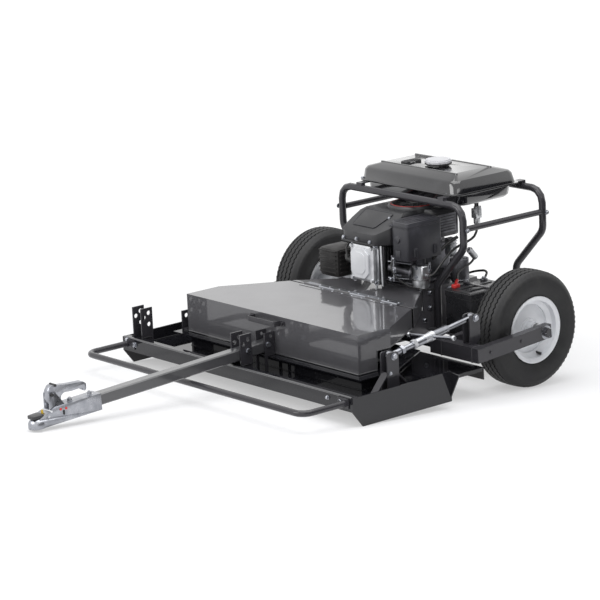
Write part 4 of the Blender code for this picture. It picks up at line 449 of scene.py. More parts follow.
def soften(shape, edges, width, segments):
    """Rounds some edges of a shape."""
    bmesh.ops.bevel(shape, geom=edges, offset=width, segments=segments, profile=0.5, affect="EDGES", material=-1)


def block(shape, x, y, z, edge, segments=2):
    """A box between two numbers on each axis, with its edges rounded."""
    verts = bmesh.ops.create_cube(shape, size=1)["verts"]
    size = Matrix.Diagonal((x[1] - x[0], y[1] - y[0], z[1] - z[0], 1))
    bmesh.ops.transform(shape, matrix=Matrix.Translation([(a + b) / 2 for a, b in (x, y, z)]) @ size, verts=verts)
    soften(shape, list({e for v in verts for e in v.link_edges}), edge, segments)


def along(start, end):
    """The place and turn that carry the +Z axis onto the line from start to end."""
    start, end = Vector(start), Vector(end)
    return Matrix.Translation((start + end) / 2) @ (end - start).to_track_quat("Z", "Y").to_matrix().to_4x4()


def bar(shape, start, end, radius, sides, tip=None):
    """A round bar from start to end, or a cone where the tip has its own radius."""
    bmesh.ops.create_cone(shape, cap_ends=True, segments=sides, radius1=radius, radius2=tip or radius,
                          depth=(Vector(end) - Vector(start)).length, matrix=along(start, end))


def chain(shape, points, radius, sides=8):
    """Bars from each point to the next."""
    for start, end in zip(points, points[1:]):
        bar(shape, start, end, radius, sides)


def bolt(shape, place, way, across, high):
    """A hexagon head on its washer: place is on a face and way, one unit long, points out of the face."""
    place, way = Vector(place), Vector(way)
    foot = 0.0012
    shoulder, top = place + way * (foot + high * 0.75), place + way * (foot + high)
    bar(shape, place - way * 0.0005, place + way * foot, across * 1.25, 20)
    bar(shape, place + way * foot * 0.5, shoulder, across, 6)
    bar(shape, shoulder, top, across, 6, across * 0.82)


print("blocks, bars and bolts ready")

# %% [markdown]
# Round forms are spun: a profile drawn beside the axis goes right round it, and a ring is a small circle taken round
# in the same way. A hose is drawn as a smooth curve with a thickness, and is then turned into a mesh.

# %% Helpers for turned forms and hoses
UP = (0, 0, 1)


def right_round(shape, line, axis, steps):
    """Spins a line of new points right round an axis through the origin."""
    edges = [shape.edges.new(pair) for pair in zip(line, line[1:])]
    bmesh.ops.spin(shape, geom=line + edges, axis=axis, angle=math.tau, steps=steps, use_merge=True)


def turned(shape, profile, matrix=Matrix(), steps=48):
    """Spins a profile of (radius, height) right round the local +Z axis of matrix."""
    before = set(shape.verts)
    right_round(shape, [shape.verts.new((r, 0, z)) for r, z in profile], UP, steps)
    made = [v for v in shape.verts if v not in before]
    bmesh.ops.remove_doubles(shape, verts=made, dist=JOIN_WITHIN)
    made = [v for v in shape.verts if v not in before]
    faces = list({f for v in made for f in v.link_faces})
    bmesh.ops.recalc_face_normals(shape, faces=faces)
    bmesh.ops.transform(shape, matrix=matrix, verts=made)


def ring(shape, radius, height, thick, matrix=Matrix(), steps=64):
    """A torus about the local +Z axis of matrix: a weld bead, an O-ring or a wire hoop."""
    section = [(radius + thick * math.cos(math.tau * i / 8), height + thick * math.sin(math.tau * i / 8))
               for i in range(9)]
    turned(shape, section, matrix, steps)


def bent(name, points, radius, finish):
    """A hose or wire through the points, as a smooth curve turned into a mesh."""
    curve = bpy.data.curves.new(name, "CURVE")
    curve.dimensions = "3D"
    spline = curve.splines.new("BEZIER")
    spline.bezier_points.add(len(points) - 1)
    for knot, place in zip(spline.bezier_points, points):
        knot.co = place
        knot.handle_left_type = knot.handle_right_type = "AUTO"
    curve.resolution_u = 6
    curve.bevel_depth = radius
    curve.bevel_resolution = 3
    curve.use_fill_caps = True
    line = bpy.data.objects.new(name, curve)
    bpy.context.scene.collection.objects.link(line)
    shape = bmesh.new()
    shape.from_mesh(bpy.data.meshes.new_from_object(line.evaluated_get(bpy.context.evaluated_depsgraph_get())))
    bmesh.ops.remove_doubles(shape, verts=shape.verts, dist=JOIN_WITHIN)
    bpy.data.objects.remove(line)
    piece(name, shape, finish, angle=60)


print("turned forms and hoses ready")

# %% [markdown]
# The tyres carry a trailer tread: four ribs that run round the tyre, parted by zigzag grooves, with notched
# shoulders. The section is spun with many steps, and the points beside each groove are then pushed sideways on every
# other step, which turns a straight groove into a zigzag. The notches come from dropping every other shoulder point.

# %% Tyres with their tread
TREAD_STEPS = 132
GROOVES = (-0.031, -0.0105, 0.0105, 0.031)
DEEP = 0.0055
ZIGZAG = 0.0026
NOTCH = 0.0225
SKIN_R = 0.2058
KINDS = ["side", "groove", "rib", "rib edge", "notch"]


def crown(across_tyre):
    """The tread's radius at a distance from the tyre's middle plane."""
    return SKIN_R - 0.0012 * (across_tyre / 0.03) ** 2 - max(0, abs(across_tyre) - 0.04) * 0.55


def tyre_section():
    """(radius, offset, what) from the inner bead over the tread to the outer bead."""
    side = [(0.1073, 0.043), (0.115, 0.048), (0.13, 0.0545), (0.144, 0.059), (0.156, 0.0604), (0.168, 0.0607),
            (0.176, 0.06), (0.179, 0.0604), (0.181, 0.0596), (0.188, 0.0572)]
    flank = [(r, z, "side") for r, z in side] + [(0.1945, 0.0535, "notch"), (crown(0.047), 0.047, "notch"),
                                                 (crown(0.042), 0.042, "rib edge")]
    tread = []
    for groove in GROOVES:
        for offset, sunk in ((-0.003, 0), (-0.0016, DEEP), (0.0016, DEEP), (0.003, 0)):
            at = groove + offset
            tread.append((crown(at) - sunk, at, "groove" if sunk else "rib"))
    return [(r, -z, what) for r, z, what in flank] + tread + flank[::-1]


for side_name, x in (("left", WHEEL_X), ("right", -WHEEL_X)):
    shape = bmesh.new()
    kind = shape.verts.layers.int.new("kind")
    line = []
    for r, z, what in tyre_section():
        line.append(shape.verts.new((z, 0, r)))
        line[-1][kind] = KINDS.index(what)
    right_round(shape, line, (1, 0, 0), TREAD_STEPS)
    for vert in shape.verts:
        turn = math.atan2(vert.co.y, vert.co.z) / math.tau * TREAD_STEPS
        odd = 1 if round(turn) % 2 else -1
        if KINDS[vert[kind]] in ("groove", "rib"):
            vert.co.x += ZIGZAG * odd
        if KINDS[vert[kind]] == "notch" and odd > 0:
            vert.co.yz = vert.co.yz * (1 - NOTCH)
    bmesh.ops.bridge_loops(shape, edges=[e for e in shape.edges if e.is_boundary])
    bmesh.ops.recalc_face_normals(shape, faces=shape.faces)
    tyre = piece("treaded_tyre_" + side_name, shape, TYRE, "wheel_" + side_name,
                 STANCE @ move(x, 0, TYRE_R), angle=42)
    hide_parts("tyre_" + side_name)
    print(tyre.name, len(tyre.data.polygons), "faces")

# %% [markdown]
# Each rim is a pressed steel wheel. What makes it look real is small: a raised ring where the disc meets the barrel,
# the valve stem with its cap, and the seal ring round the hub.

# %% Rim details
for side_name, side in (("left", 1), ("right", -1)):
    place = STANCE @ move(side * WHEEL_X, 0, TYRE_R) @ spin(side * 90, "Y")
    shape = bmesh.new()
    ring(shape, 0.1162, 0.0532, 0.0017, steps=96)
    ring(shape, 0.0372, 0.0222, 0.0022)
    piece("rim_beads_" + side_name, shape, SILVER, "wheel_" + side_name, place, angle=60)
    shape = bmesh.new()
    bar(shape, (0.088, 0.03, 0.01), (0.092, 0.032, 0.034), 0.0045, 16)
    bar(shape, (0.0918, 0.0319, 0.033), (0.0928, 0.0323, 0.041), 0.0052, 12)
    piece("valve_stem_" + side_name, shape, HOSE, "wheel_" + side_name, place, angle=40)
    shape = bmesh.new()
    turned(shape, [(0.015, 0.05), (0.015, 0.0562), (0.025, 0.0562), (0.0262, 0.055), (0.0262, 0.05),
                   (0.015, 0.05)])
    piece("hub_seal_" + side_name, shape, ALLOY, "wheel_" + side_name, place, angle=40)
print("rim details on both wheels")

# %% [markdown]
# More helpers: a flat form from an outline whose corners can be rounded, for lips, pads and boots, and a stack of
# tiny cones that reads as a screw thread.

# %% Outlines and threads
def soft_outline(corners, radius, steps=4):
    """The closed outline with every corner turned into an arc."""
    corners = [Vector(c) for c in corners]
    path = []
    for i, corner in enumerate(corners):
        before = (corners[i - 1] - corner).normalized()
        after = (corners[(i + 1) % len(corners)] - corner).normalized()
        half = before.angle(after) / 2
        reach = radius / math.tan(half)
        first, last = corner + before * reach, corner + after * reach
        middle = corner + (before + after).normalized() * (radius / math.sin(half))
        for step in range(steps + 1):
            part = step / steps
            spoke = (first - middle) * (1 - part) + (last - middle) * part
            path.append(middle + spoke.normalized() * radius)
    return path


def slab(shape, outline, low, high, matrix=Matrix()):
    """A flat outline in x and y given a thickness along z, then moved by the matrix."""
    face = shape.faces.new([shape.verts.new((p[0], p[1], low)) for p in outline])
    risen = bmesh.ops.extrude_face_region(shape, geom=[face], use_keep_orig=True)["geom"]
    top = [v for v in risen if isinstance(v, bmesh.types.BMVert)]
    bmesh.ops.translate(shape, vec=(0, 0, high - low), verts=top)
    verts = list(face.verts) + top
    bmesh.ops.recalc_face_normals(shape, faces=list({f for v in verts for f in v.link_faces}))
    bmesh.ops.transform(shape, matrix=matrix, verts=verts)


def oblong(width, depth, radius, steps=4):
    """A rectangle about the origin with its corners rounded."""
    w, d = width / 2, depth / 2
    return soft_outline([(-w, -d), (w, -d), (w, d), (-w, d)], radius, steps)


def soften_top(shape, above, width, segments):
    """Rounds the edges that lie above a height."""
    soften(shape, [e for e in shape.edges if all(v.co.z > above for v in e.verts)], width, segments)


def thread(shape, start, end, radius, pitch=0.0022, crest=0.0007):
    """Ridges round a rod, from start to end."""
    length = (Vector(end) - Vector(start)).length
    turns = max(2, round(length / pitch))
    profile = [(radius * 0.8, -length / 2)]
    for i in range(turns):
        low = -length / 2 + i * length / turns
        profile += [(radius, low), (radius + crest, low + 0.5 * length / turns)]
    profile += [(radius, length / 2), (radius * 0.8, length / 2), (radius * 0.8, -length / 2)]
    turned(shape, profile, along(start, end), 20)


def facing(place, way):
    """A matrix that stands the local +Z axis on a face."""
    return Matrix.Translation(place) @ Vector(way).to_track_quat("Z", "Y").to_matrix().to_4x4()


print("outlines and threads ready")

# %% [markdown]
# The deck is folded and welded. Its top front edge is rolled over into a thin hem, weld beads run along the
# feet of the raised table and of the hitch ears, and hexagon bolts hold the brush bar's lugs to the front beam.

# %% Deck hem, weld beads and lug bolts
shape = bmesh.new()
bar(shape, (-0.617, -0.8757, 0.1553), (0.617, -0.8757, 0.1553), 0.004, 16)
piece("front_beam_hem", shape, BAR_BLACK)
shape = bmesh.new()
LUG_BOLTS = ((-0.554, 0.136, 0.0095), (-0.596, 0.149, 0.006), (0.565, 0.136, 0.0095), (0.5, 0.138, 0.006))
for x, z, size in LUG_BOLTS:
    bolt(shape, (x, -0.8792, z), FORWARD, size, 0.007)
piece("brush_bar_lug_bolts", shape, ZINC)
shape = bmesh.new()
for side in (-1, 1):
    corners = [(0, -0.6965), (side * 0.4595, -0.6965), (side * 0.4595, -0.575), (side * 0.325, -0.352)]
    chain(shape, [(x, y, 0.1148) for x, y in corners], 0.0024)
    for y in (-0.8595, -0.8105):
        bar(shape, (side * 0.0245, y, 0.157), (side * 0.0245, y + 0.001, 0.19), 0.0018, 8)
    for x in (side * 0.028 - 0.565, side * 0.029):
        bar(shape, (x, -0.859, 0.1565), (x, -0.811, 0.1565), 0.0022, 8)
    bar(shape, (side * 0.6185, -0.83, 0.1148), (side * 0.6185, -0.45, 0.1148), 0.0022, 8)
piece("deck_weld_beads", shape, DECK_BLACK, angle=60)
print("hem, beads and", len(LUG_BOLTS), "lug bolts")

# %% [markdown]
# The lid's lower edge is hemmed as well, and its long piano hinge is riveted on both leaves. The rivets are turned
# domes. Those on the lid's leaf ride with the lid, and those on the other leaf stay with the machine.

# %% Lid hem and hinge rivets
shape = bmesh.new()
for side in (-1, 1):
    x = side * 0.4592
    chain(shape, [(0, -0.7052, 0.17), (x, -0.7052, 0.17), (x, -0.6235, 0.17), (x, -0.6235, 0.2365),
                  (x, -0.56, 0.2365), (side * 0.329, -0.347, 0.2365)], 0.0026, 10)
piece("lid_hem", shape, BAR_BLACK, "lid", angle=60)


def rivets(name, y, z, body="frame"):
    """Ten rivet heads in a row along a hinge leaf."""
    shape = bmesh.new()
    for i in range(10):
        turned(shape, [(0, 0.0016), (0.002, 0.0013), (0.0034, 0), (0.0034, -0.0008), (0, -0.0008)],
               move(i * 0.052 - 0.234, y, z), 16)
    piece(name, shape, ZINC, body, angle=60)


rivets("hinge_rivets_front", -0.35, 0.3066, "lid")
rivets("hinge_rivets_rear", -0.316, 0.3072)
print("rivets on both hinge leaves")

# %% [markdown]
# The coupler is stamped and zinc plated. Onto it go what the solids leave out: a dark block over the socket, a yellow
# wear pin, two red marks beside the lever, a thin dark sheet on the side plate that paints the shade inside a slot,
# the lever's rolled pins and the bolts' washers. All of it is written in the tow bar's own numbers.

# %% Coupler details
# A dark block with a rounded top sits over the socket.
shape = bmesh.new()
slab(shape, soft_outline([(-0.017, -0.896), (0.017, -0.896), (0.0205, -0.852), (-0.0205, -0.852)], 0.006),
     0.0015, 0.012)
soften_top(shape, 0.011, 0.003, 3)
piece("socket_dark_block", shape, CAP_BLACK, "frame", BAR, angle=30)
# Each slot in the side plate is a thin dark sheet laid on the plate: painted shade for the slot's dark inside.
shape = bmesh.new()
for side in (-1, 1):
    slab(shape, oblong(0.017, 0.008, 0.0038), 0, 0.0004,
         facing((side * 0.0246, -0.778, -0.001), (side, 0, 0)) @ spin(90))
piece("coupler_slot_shade", shape, HOSE, "frame", BAR)
shape = bmesh.new()
for y, z in ((-0.79, 0.0125), (-0.768, 0.0105)):
    bar(shape, (0.0238, y, z), (0.0262, y, z), 0.0042, 16)
piece("coupler_red_marks", shape, TERMINAL_RED, "frame", BAR)
shape = bmesh.new()
bar(shape, (0, -0.846, 0.006), (0, -0.846, 0.021), 0.0042, 16, 0.0036)
piece("wear_indicator", shape, YELLOW, "frame", BAR)
shape = bmesh.new()
for y in (-0.655, -0.735):
    bar(shape, (0, y, 0.023), (0, y, 0.0247), 0.0115, 24)
    thread(shape, (0, y, 0.0325), (0, y, 0.0352), 0.0048, 0.0012, 0.0004)
bar(shape, (-0.024, -0.826, 0.014), (0.0262, -0.826, 0.014), 0.004, 16)
bar(shape, (0.0238, -0.838, 0), (0.0262, -0.838, 0), 0.0045, 16)
piece("coupler_washers", shape, ALLOY, "frame", BAR)
shape = bmesh.new()
bar(shape, (-0.015, -0.794, 0.0925), (0.015, -0.794, 0.0925), 0.005, 20)
bar(shape, (-0.0215, -0.814, 0.066), (0.0215, -0.814, 0.066), 0.0062, 20)
piece("lever_pins", shape, HOSE, "coupler_lever", BAR)
print("coupler dressed")

# %% [markdown]
# The height adjuster is a turnbuckle. The solids give its eyes, rods and body. Here it gets its threads, hexagon
# heads and nuts on both pins, a ribbed grip on the body, and a ball on each end of the tommy bar.

# %% Height adjuster details
shape = bmesh.new()
thread(shape, (0, 0.0155, 0), (0, 0.045, 0), 0.0092)
thread(shape, (0, 0.059, 0), (0, 0.099, 0), 0.0092)
piece("adjuster_thread_front", shape, ZINC, "link_front", LINK, angle=50)
shape = bmesh.new()
thread(shape, (0, 0.266, 0), (0, 0.312, 0), 0.00902, crest=0.00015)
piece("adjuster_thread_rear", shape, ZINC, "link_rear", LINK, angle=50)
shape = bmesh.new()
for i in range(5):
    ring(shape, 0.0142, i * 0.005 - 0.032, 0.0014, move(0, 0.146) @ spin(90, "X"), 32)
turned(shape, [(0.012, 0.008), (0.0166, 0.008), (0.0166, -0.006), (0.012, -0.006), (0.012, 0.008)],
       move(0, 0.11) @ spin(90, "X"), 6)
TOMMY = move(0, 0.187)
turned(shape, [(0.012, 0.01), (0.0172, 0.008), (0.0172, -0.008), (0.012, -0.01), (0.012, 0.01)],
       TOMMY @ spin(90, "X"), 32)
for side in (-1, 1):
    tip = TOMMY @ spin(-7, "Y") @ Vector((side * 0.1215, 0, 0))
    turned(shape, [(0, 0), (0.005, 0.0008), (0.0084, 0.005), (0.0084, 0.0095), (0.0066, 0.0135),
                   (0, 0.015)], facing(tip, TOMMY.translation - tip), 24)
piece("turnbuckle_grip_and_knobs", shape, ALLOY, "link_turnbuckle", LINK, angle=45)
for end, body, place in (("front", "frame", LINK_FRONT), ("rear", "axle", LINK_REAR)):
    shape = bmesh.new()
    bolt(shape, (0.0178, 0, 0), (1, 0, 0), 0.0102, 0.008)
    bolt(shape, (-0.0178, 0, 0), (-1, 0, 0), 0.01, 0.0085)
    if end == "front":
        bolt(shape, (0.0182, -0.018, -0.055), (1, 0, 0), 0.0055, 0.004)
    piece("adjuster_pin_" + end, shape, ZINC, body, STANCE @ place)
print("adjuster dressed")

# %% [markdown]
# The axle frame is welded box section. Round beads mark where the arms meet the cross tubes, each wheel's pin has a
# washer and a split pin, and small caps close the grease holes in the arms.

# %% Axle frame details
shape = bmesh.new()
BEAD_AT = 0.0252
for x in (-0.6065, -0.4555, 0.4555, 0.6065):
    corners = ((BEAD_AT, -BEAD_AT), (-BEAD_AT, -BEAD_AT), (-BEAD_AT, BEAD_AT), (BEAD_AT, BEAD_AT))
    chain(shape, [(x, u - 0.301, v + 0.186) for u, v in corners], 0.0022)
piece("axle_weld_beads", shape, SATIN_BLACK, "axle", angle=60)
shape = bmesh.new()
for side in (-1, 1):
    bar(shape, (side * 0.6355, 0, TYRE_R), (side * 0.6375, 0, TYRE_R), 0.024, 32)
    bar(shape, (side * 0.6472, -0.016, TYRE_R), (side * 0.6472, 0.016, TYRE_R), 0.0016, 10)
piece("axle_washers_and_split_pins", shape, ZINC, "axle")
shape = bmesh.new()
for side in (-1, 1):
    for y in (-0.265, -0.12):
        bolt(shape, (side * 0.6368, y, 0.1865 + (y + 0.301) * 0.0665), (side, 0, 0), 0.0055, 0.0035)
piece("arm_grease_caps", shape, SATIN_BLACK, "axle")
print("axle frame dressed")

# %% [markdown]
# The stand's plates are bolted to the deck, to the engine's base and to the cage. The bolts are plain zinc hexagons
# with washers, placed where the photograph shows them on the left plate and mirrored onto the right one.

# %% Stand and cage bolts
shape = bmesh.new()
for y, z in ((-0.101, 0.2905), (-0.103, 0.236), (-0.008, 0.288), (0.004, 0.233), (-0.131, 0.196), (-0.3, 0.205),
             (-0.46, 0.186), (0.12, 0.236), (0.24, 0.25)):
    for side in (-1, 1):
        bolt(shape, (side * 0.1608, y, z), (side, 0, 0), 0.0078, 0.0062)
piece("stand_bolts", shape, ZINC)
shape = bmesh.new()
for side in (-1, 1):
    for y in (-0.0787, 0.3093):
        bolt(shape, (side * 0.3405, y, 0.5358), (side, 0, 0), 0.007, 0.0055)
piece("cage_bolts", shape, ZINC)
print("stand and cage bolted")

# %% [markdown]
# The engine is where the eye lands, so it gets the most pieces. They are grouped by what they belong to, front to
# back: the blower housing with its ledge, its raised panel and the thin red ring round the screen.

# %% Blower housing
HOUSING_FRONT_Z = 0.478
RISE = math.atan2(0.57 - HOUSING_FRONT_Z, 0.3 - 0.139)
SLOPE = STANCE @ move(0, -0.25, HOUSING_FRONT_Z + 0.05 * math.tan(RISE)) @ spin(math.degrees(RISE), "X")
SCREEN = move(0, -0.02)
PANEL_TOP = 0.0026
panel = soft_outline([(-0.106, 0.034), (0.012, 0.034), (0.04, 0.12), (-0.112, 0.12)], 0.01)
shape = bmesh.new()
slab(shape, panel, -0.002, PANEL_TOP)
soften_top(shape, 0.002, 0.0012, 2)
piece("housing_panel", shape, ENGINE_BLACK, "frame", SLOPE, angle=30)
# The bead round the panel's edge is partly a real step and partly a painted highlight, drawn in the air cleaner's
# slightly lighter black.
shape = bmesh.new()
chain(shape, [(x, y, PANEL_TOP) for x, y in panel + panel[:1]], 0.0011)
piece("housing_panel_edge_highlight", shape, FILTER_BLACK, "frame", SLOPE, angle=60)
shape = bmesh.new()
ring(shape, 0.08, 0.5832, 0.0014, SCREEN, 96)
piece("screen_ring", shape, RED, angle=60)
shape = bmesh.new()
for i in range(12):
    slab(shape, [(0.018, -0.0014), (0.064, -0.0026), (0.064, 0.0026), (0.018, 0.0014)], 0.5775, 0.5792,
         SCREEN @ spin(15 + 30 * i))
turned(shape, [(0, 0.5815), (0.012, 0.5815), (0.015, 0.579), (0.015, 0.577), (0, 0.577)], SCREEN, 32)
piece("screen_vanes", shape, ENGINE_BLACK, "crank", angle=30)
shape = bmesh.new()
slab(shape, oblong(0.1815, 0.062, 0.012), 0.468, 0.4745, move(-0.04775, -0.221))
piece("housing_ledge", shape, ENGINE_BLACK, angle=30)
shape = bmesh.new()
for x, z in ((-0.051, 0.483), (0.02, 0.48), (-0.12, 0.48)):
    bolt(shape, (x, -0.25, z), FORWARD, 0.0062, 0.005)
for x, y in ((0.1, 0.095), (-0.105, 0.092), (0.06, -0.19), (-0.118, -0.11)):
    bolt(shape, (x, y, 0.561), UP, 0.0055, 0.004)
piece("housing_bolts", shape, ZINC)
shape = bmesh.new()
block(shape, (0.1265, 0.1305), (-0.02, 0.066), (0.484, 0.552), 0.0015)
block(shape, (0.1275, 0.1312), (0.0675, 0.0715), (0.478, 0.556), 0.0012)
piece("housing_side_panel", shape, DARK_ALLOY, angle=30)
shape = bmesh.new()
for i in range(6):
    block(shape, (0.13, 0.1322), (-0.012, 0.058), (0.4915 + i * 0.01, 0.4945 + i * 0.01), 0.0008)
piece("housing_side_louvres", shape, ENGINE_BLACK, angle=30)
print("blower housing dressed")

# %% [markdown]
# The cylinder head faces forward. Its cast valve cover carries a raised eight-sided panel and ears with bolts at its
# corners, and beside it stand a side plate, the push rod tube, a stud, the spark plug's boot and its lead.

# %% Cylinder head
HEAD_Z = 0.3985
HEAD_FACE = facing((-0.034, -0.2505, HEAD_Z), FORWARD)
EARS = [(x * 0.058 - 0.0275, z * 0.0655 + HEAD_Z) for x in (-1, 1) for z in (-1, 1)]
shape = bmesh.new()
slab(shape, oblong(0.092, 0.108, 0.02, 1), -0.001, 0.006, HEAD_FACE)
slab(shape, oblong(0.064, 0.078, 0.016, 1), 0.0055, 0.0082, HEAD_FACE)
piece("valve_cover_panel", shape, SILVER, angle=25, edge=0.0012)
shape = bmesh.new()
for x, z in EARS:
    bar(shape, (x, -0.223, z), (x, -0.235, z), 0.011, 24)
piece("valve_cover_ears", shape, ALLOY, angle=40)
shape = bmesh.new()
for x, z in EARS:
    bolt(shape, (x, -0.235, z), FORWARD, 0.0068, 0.007)
piece("valve_cover_bolts", shape, ZINC)
shape = bmesh.new()
block(shape, (0.038, 0.066), (-0.227, -0.2235), (0.325, 0.466), 0.001)
piece("head_side_plate", shape, ENGINE_BLACK)
shape = bmesh.new()
bar(shape, (0.06, -0.231, 0.324), (0.056, -0.231, 0.468), 0.0042, 16)
bar(shape, (0.027, -0.233, 0.308), (0.027, -0.233, 0.334), 0.0048, 16)
bolt(shape, (0.027, -0.233, 0.333), UP, 0.0075, 0.005)
piece("push_rod_tube_and_stud", shape, ALLOY)
shape = bmesh.new()
bar(shape, (-0.093, -0.23, 0.39), (-0.118, -0.242, 0.4), 0.0085, 16)
bar(shape, (-0.115, -0.241, 0.3985), (-0.121, -0.238, 0.415), 0.0075, 16)
piece("spark_plug_boot", shape, HOSE, angle=50)
bent("spark_plug_lead", [(-0.121, -0.238, 0.414), (-0.128, -0.23, 0.44), (-0.12, -0.205, 0.46),
                         (-0.1, -0.18, 0.472)], 0.0035, HOSE)
print("cylinder head dressed")

# %% [markdown]
# Between head and air cleaner sit the intake and the governor: a cast manifold, a bracket with two springs, thin
# rods, and the carburettor's lever and screws. They are small and bright against black, which is why they must not
# be left out.

# %% Intake, governor and carburettor
shape = bmesh.new()
bar(shape, (0.062, -0.205, 0.388), (0.126, -0.152, 0.368), 0.012, 28)
bar(shape, (0.119, -0.158, 0.3705), (0.124, -0.154, 0.369), 0.021, 28)
block(shape, (0.088, 0.0925), (-0.214, -0.168), (0.398, 0.436), 0.0015)
piece("intake_manifold", shape, DARK_ALLOY, angle=40)
shape = bmesh.new()
bar(shape, (0.073, -0.216, 0.4135), (0.133, -0.16, 0.401), 0.0022, 12)
bar(shape, (0.076, -0.22, 0.356), (0.129, -0.169, 0.348), 0.0022, 12)
bar(shape, (0.1, -0.213, 0.344), (0.1, -0.213, 0.432), 0.003, 12)
thread(shape, (0.1005, -0.206, 0.4215), (0.13, -0.174, 0.4165), 0.0036, 0.0026, 0.0012)
thread(shape, (0.096, -0.214, 0.368), (0.118, -0.194, 0.364), 0.0034, 0.0026, 0.0012)
block(shape, (0.0975, 0.112), (-0.215, -0.212), (0.376, 0.396), 0.0008)
piece("governor_rods_and_springs", shape, ZINC, angle=50)
shape = bmesh.new()
for x, z in ((0.104, 0.426), (0.104, 0.385), (0.086, 0.35)):
    bolt(shape, (x, -0.215, z), FORWARD, 0.006, 0.005)
bolt(shape, (0.15, -0.152, 0.388), FORWARD, 0.006, 0.006)
bolt(shape, (0.15, -0.152, 0.356), FORWARD, 0.005, 0.006)
bolt(shape, (0.15, -0.13, 0.308), (0, 0, -1), 0.0075, 0.006)
block(shape, (0.1792, 0.1822), (-0.12, -0.112), (0.37, 0.408), 0.001)
bar(shape, (0.176, -0.116, 0.378), (0.186, -0.116, 0.378), 0.0048, 16)
bar(shape, (0.179, -0.116, 0.4), (0.187, -0.116, 0.4), 0.003, 12)
piece("carburettor_screws_and_lever", shape, ZINC)
shape = bmesh.new()
ring(shape, 0.0312, 0.345, 0.0014, move(0.15, -0.13), 48)
piece("bowl_gasket", shape, HOSE, angle=60)
bent("throttle_cable", [(0.104, -0.216, 0.43), (0.112, -0.236, 0.4), (0.15, -0.22, 0.35),
                        (0.19, -0.17, 0.322), (0.196, -0.11, 0.312)], 0.0024, HOSE)
bent("breather_hose", [(0.186, 0.016, 0.476), (0.182, -0.02, 0.462), (0.176, -0.055, 0.44),
                       (0.168, -0.088, 0.412)], 0.0062, HOSE)
print("intake and carburettor dressed")

# %% [markdown]
# The air cleaner's cover meets its base in a lip and is held by clips. The muffler wears a pressed
# guard with level louvres, and behind the starter stand its solenoid and the regulator with cooling fins.

# %% Air cleaner, muffler and starter
STARTER = move(0.172, 0.035)
shape = bmesh.new()
for low, high in ((0.542, 0.5445), (0.547, 0.549)):
    slab(shape, oblong(0.0972, 0.1703, 0.012), low, high, move(0.1376, -0.13835))
piece("air_cleaner_lip", shape, FILTER_BLACK, angle=30)
shape = bmesh.new()
slab(shape, oblong(0.074, 0.148, 0.012), 0.561, 0.5634, move(0.138, -0.138))
for x in (0.118, 0.138, 0.158):
    slab(shape, oblong(0.006, 0.12, 0.0025), 0.563, 0.5644, move(x, -0.138))
piece("air_cleaner_top_panel", shape, FILTER_BLACK, angle=30)
shape = bmesh.new()
for y in (-0.185, -0.09):
    block(shape, (0.1845, 0.1878), (y - 0.008, y + 0.008), (0.436, 0.47), 0.0012)
    wire = ((-0.006, 0.44), (-0.006, 0.466), (0.006, 0.466), (0.006, 0.44))
    chain(shape, [(0.1885, y + across, z) for across, z in wire], 0.0013)
block(shape, (0.125, 0.149), (-0.2245, -0.2215), (0.436, 0.462), 0.0012)
piece("air_cleaner_clips", shape, FILTER_BLACK, angle=50)
shape = bmesh.new()
for i in range(6):
    z = 0.324 + i * 0.0155
    block(shape, (-0.301, -0.209), (-0.218, -0.214), (z, z + 0.005), 0.001)
    block(shape, (-0.2015, -0.1975), (-0.203, -0.107), (z, z + 0.005), 0.001)
piece("muffler_louvres", shape, EXHAUST, angle=30)
shape = bmesh.new()
bar(shape, (0.211, 0.05, 0.426), (0.211, 0.078, 0.395), 0.0118, 28)
bar(shape, (0.211, 0.0455, 0.431), (0.211, 0.05, 0.426), 0.0085, 28)
block(shape, (0.14, 0.17), (-0.004, 0.028), (0.408, 0.47), 0.003)
for i in range(5):
    block(shape, (0.1695, 0.176), (-0.002, 0.026), (0.414 + i * 0.011, 0.4165 + i * 0.011), 0.0006)
block(shape, (0.15, 0.19), (0.01, 0.024), (0.403, 0.412), 0.0015)
piece("solenoid_and_regulator", shape, ALLOY, angle=35)
shape = bmesh.new()
for i in range(3):
    x, y = (STARTER @ spin(120 * i + 34.3775) @ Vector((0.0285, 0, 0))).xy
    bar(shape, (x, y, 0.308), (x, y, 0.399), 0.0032, 12)
for z in (0.393, 0.32):
    ring(shape, 0.0343, z, 0.0012, STARTER, 48)
bolt(shape, (0.172, 0.0353, 0.4035), UP, 0.006, 0.005)
piece("starter_through_bolts", shape, ZINC, angle=50)
print("air cleaner, muffler and starter dressed")

# %% [markdown]
# The tank's two halves are bolted to the cage through tabs on the seam. Its cap has a pale ribbed top, the gauge is a
# ribbed oblong, and the tap has a nut and a settling bowl.

# %% Tank, cap and tap
CAP = move(0.03, 0.08)
TAP = move(0.19, 0.11)
shape = bmesh.new()
for x, y in ((0.205, -0.045), (-0.243, -0.046), (0.205, 0.262), (-0.205, 0.262)):
    bolt(shape, (x, y + 0.004, 0.645), UP, 0.0068, 0.005)
piece("tank_seam_bolts", shape, ZINC)
shape = bmesh.new()
slab(shape, [spin(7.5 * i) @ Vector((0.0395, 0, 0)) for i in range(48)], 0.7275, 0.7287, CAP)
for i in range(32):
    slab(shape, [(0.034, -0.0016), (0.044, -0.0021), (0.044, 0.0021), (0.034, 0.0016)], 0.725, 0.729,
         CAP @ spin(11.25 * i))
piece("cap_grip_ribs", shape, CAP_GREY, "filler_cap", angle=30)
shape = bmesh.new()
slab(shape, oblong(0.04, 0.074, 0.01), 0.702, 0.7122, move(-0.092, 0.06))
for i in range(8):
    block(shape, (-0.108, -0.076), (0.0305 + i * 0.008, 0.0335 + i * 0.008), (0.7118, 0.7138), 0.0006)
piece("fuel_gauge_ribs", shape, CAP_BLACK, angle=30)
shape = bmesh.new()
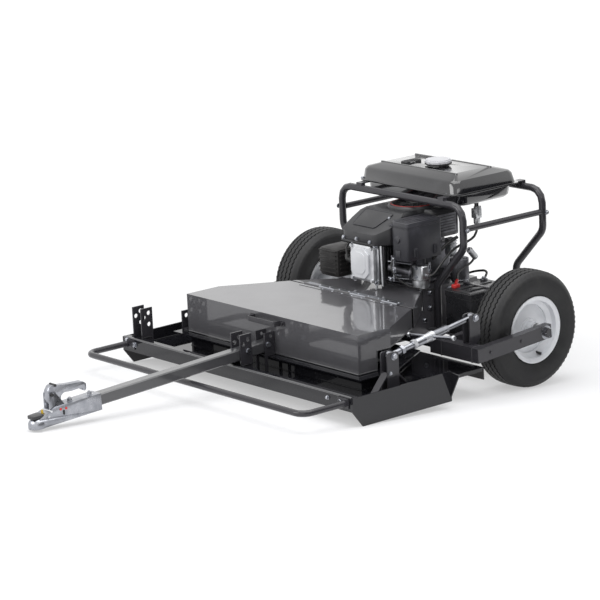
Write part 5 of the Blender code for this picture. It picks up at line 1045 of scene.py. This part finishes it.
turned(shape, [(0, 0.506), (0.01, 0.5075), (0.0122, 0.512), (0.0122, 0.529), (0, 0.529)], TAP, 28)
turned(shape, [(0, 0.564), (0.0105, 0.564), (0.0105, 0.572), (0, 0.572)], TAP, 6)
block(shape, (0.1752, 0.2028), (0.0962, 0.1238), (0.529, 0.565), 0.003)
piece("tap_bowl_and_nut", shape, ALLOY, angle=35)
shape = bmesh.new()
ring(shape, 0.005, 0.5, 0.0013, TAP, 24)
ring(shape, 0.0052, 0, 0.0013, facing((0.189, -0.1295, 0.3621), (1, 0, 0)), 24)
piece("hose_clips", shape, ZINC, angle=60)
print("tank, cap and tap dressed")

# %% [markdown]
# The battery has a lid with pressed filler strips, a hold-down strap, a red boot over its positive post and two
# cables. One goes to the starter's solenoid and the other to the engine's base.

# %% Battery
shape = bmesh.new()
for x in (0.3, 0.345):
    block(shape, (x - 0.012, x + 0.012), (-0.09, 0.058), (0.322, 0.3262), 0.0012)
piece("battery_filler_strips", shape, BATTERY_BLACK, angle=30)
shape = bmesh.new()
for x, low in (((0.253, 0.387), 0.3225), ((0.3865, 0.39), 0.18), ((0.25, 0.2535), 0.18)):
    block(shape, x, (-0.024, -0.004), (low, 0.328), 0.001)
piece("battery_strap", shape, SATIN_BLACK)
shape = bmesh.new()
block(shape, (0.2675, 0.287), (-0.097, -0.07), (0.323, 0.337), 0.0035, 3)
bar(shape, (0.27, -0.076, 0.333), (0.256, -0.056, 0.342), 0.0062, 16)
piece("positive_boot", shape, RED, angle=40)
shape = bmesh.new()
block(shape, (0.269, 0.286), (0.04, 0.064), (0.324, 0.333), 0.0015)
bolt(shape, (0.277, 0.052, 0.3345), UP, 0.0062, 0.005)
piece("negative_clamp", shape, ZINC, angle=40)
bent("positive_cable", [(0.258, -0.058, 0.341), (0.24, -0.035, 0.362), (0.225, 0.02, 0.375),
                        (0.214, 0.06, 0.386), (0.211, 0.075, 0.398)], 0.0042, HOSE)
bent("negative_cable", [(0.272, 0.062, 0.33), (0.25, 0.092, 0.345), (0.2, 0.098, 0.34),
                        (0.14, 0.085, 0.322), (0.1, 0.07, 0.316)], 0.0042, HOSE)
shape = bmesh.new()
block(shape, (0.088, 0.106), (0.06, 0.078), (0.312, 0.315), 0.0008)
bolt(shape, (0.097, 0.069, 0.315), UP, 0.0062, 0.005)
piece("ground_lug", shape, ZINC)
print("battery dressed")
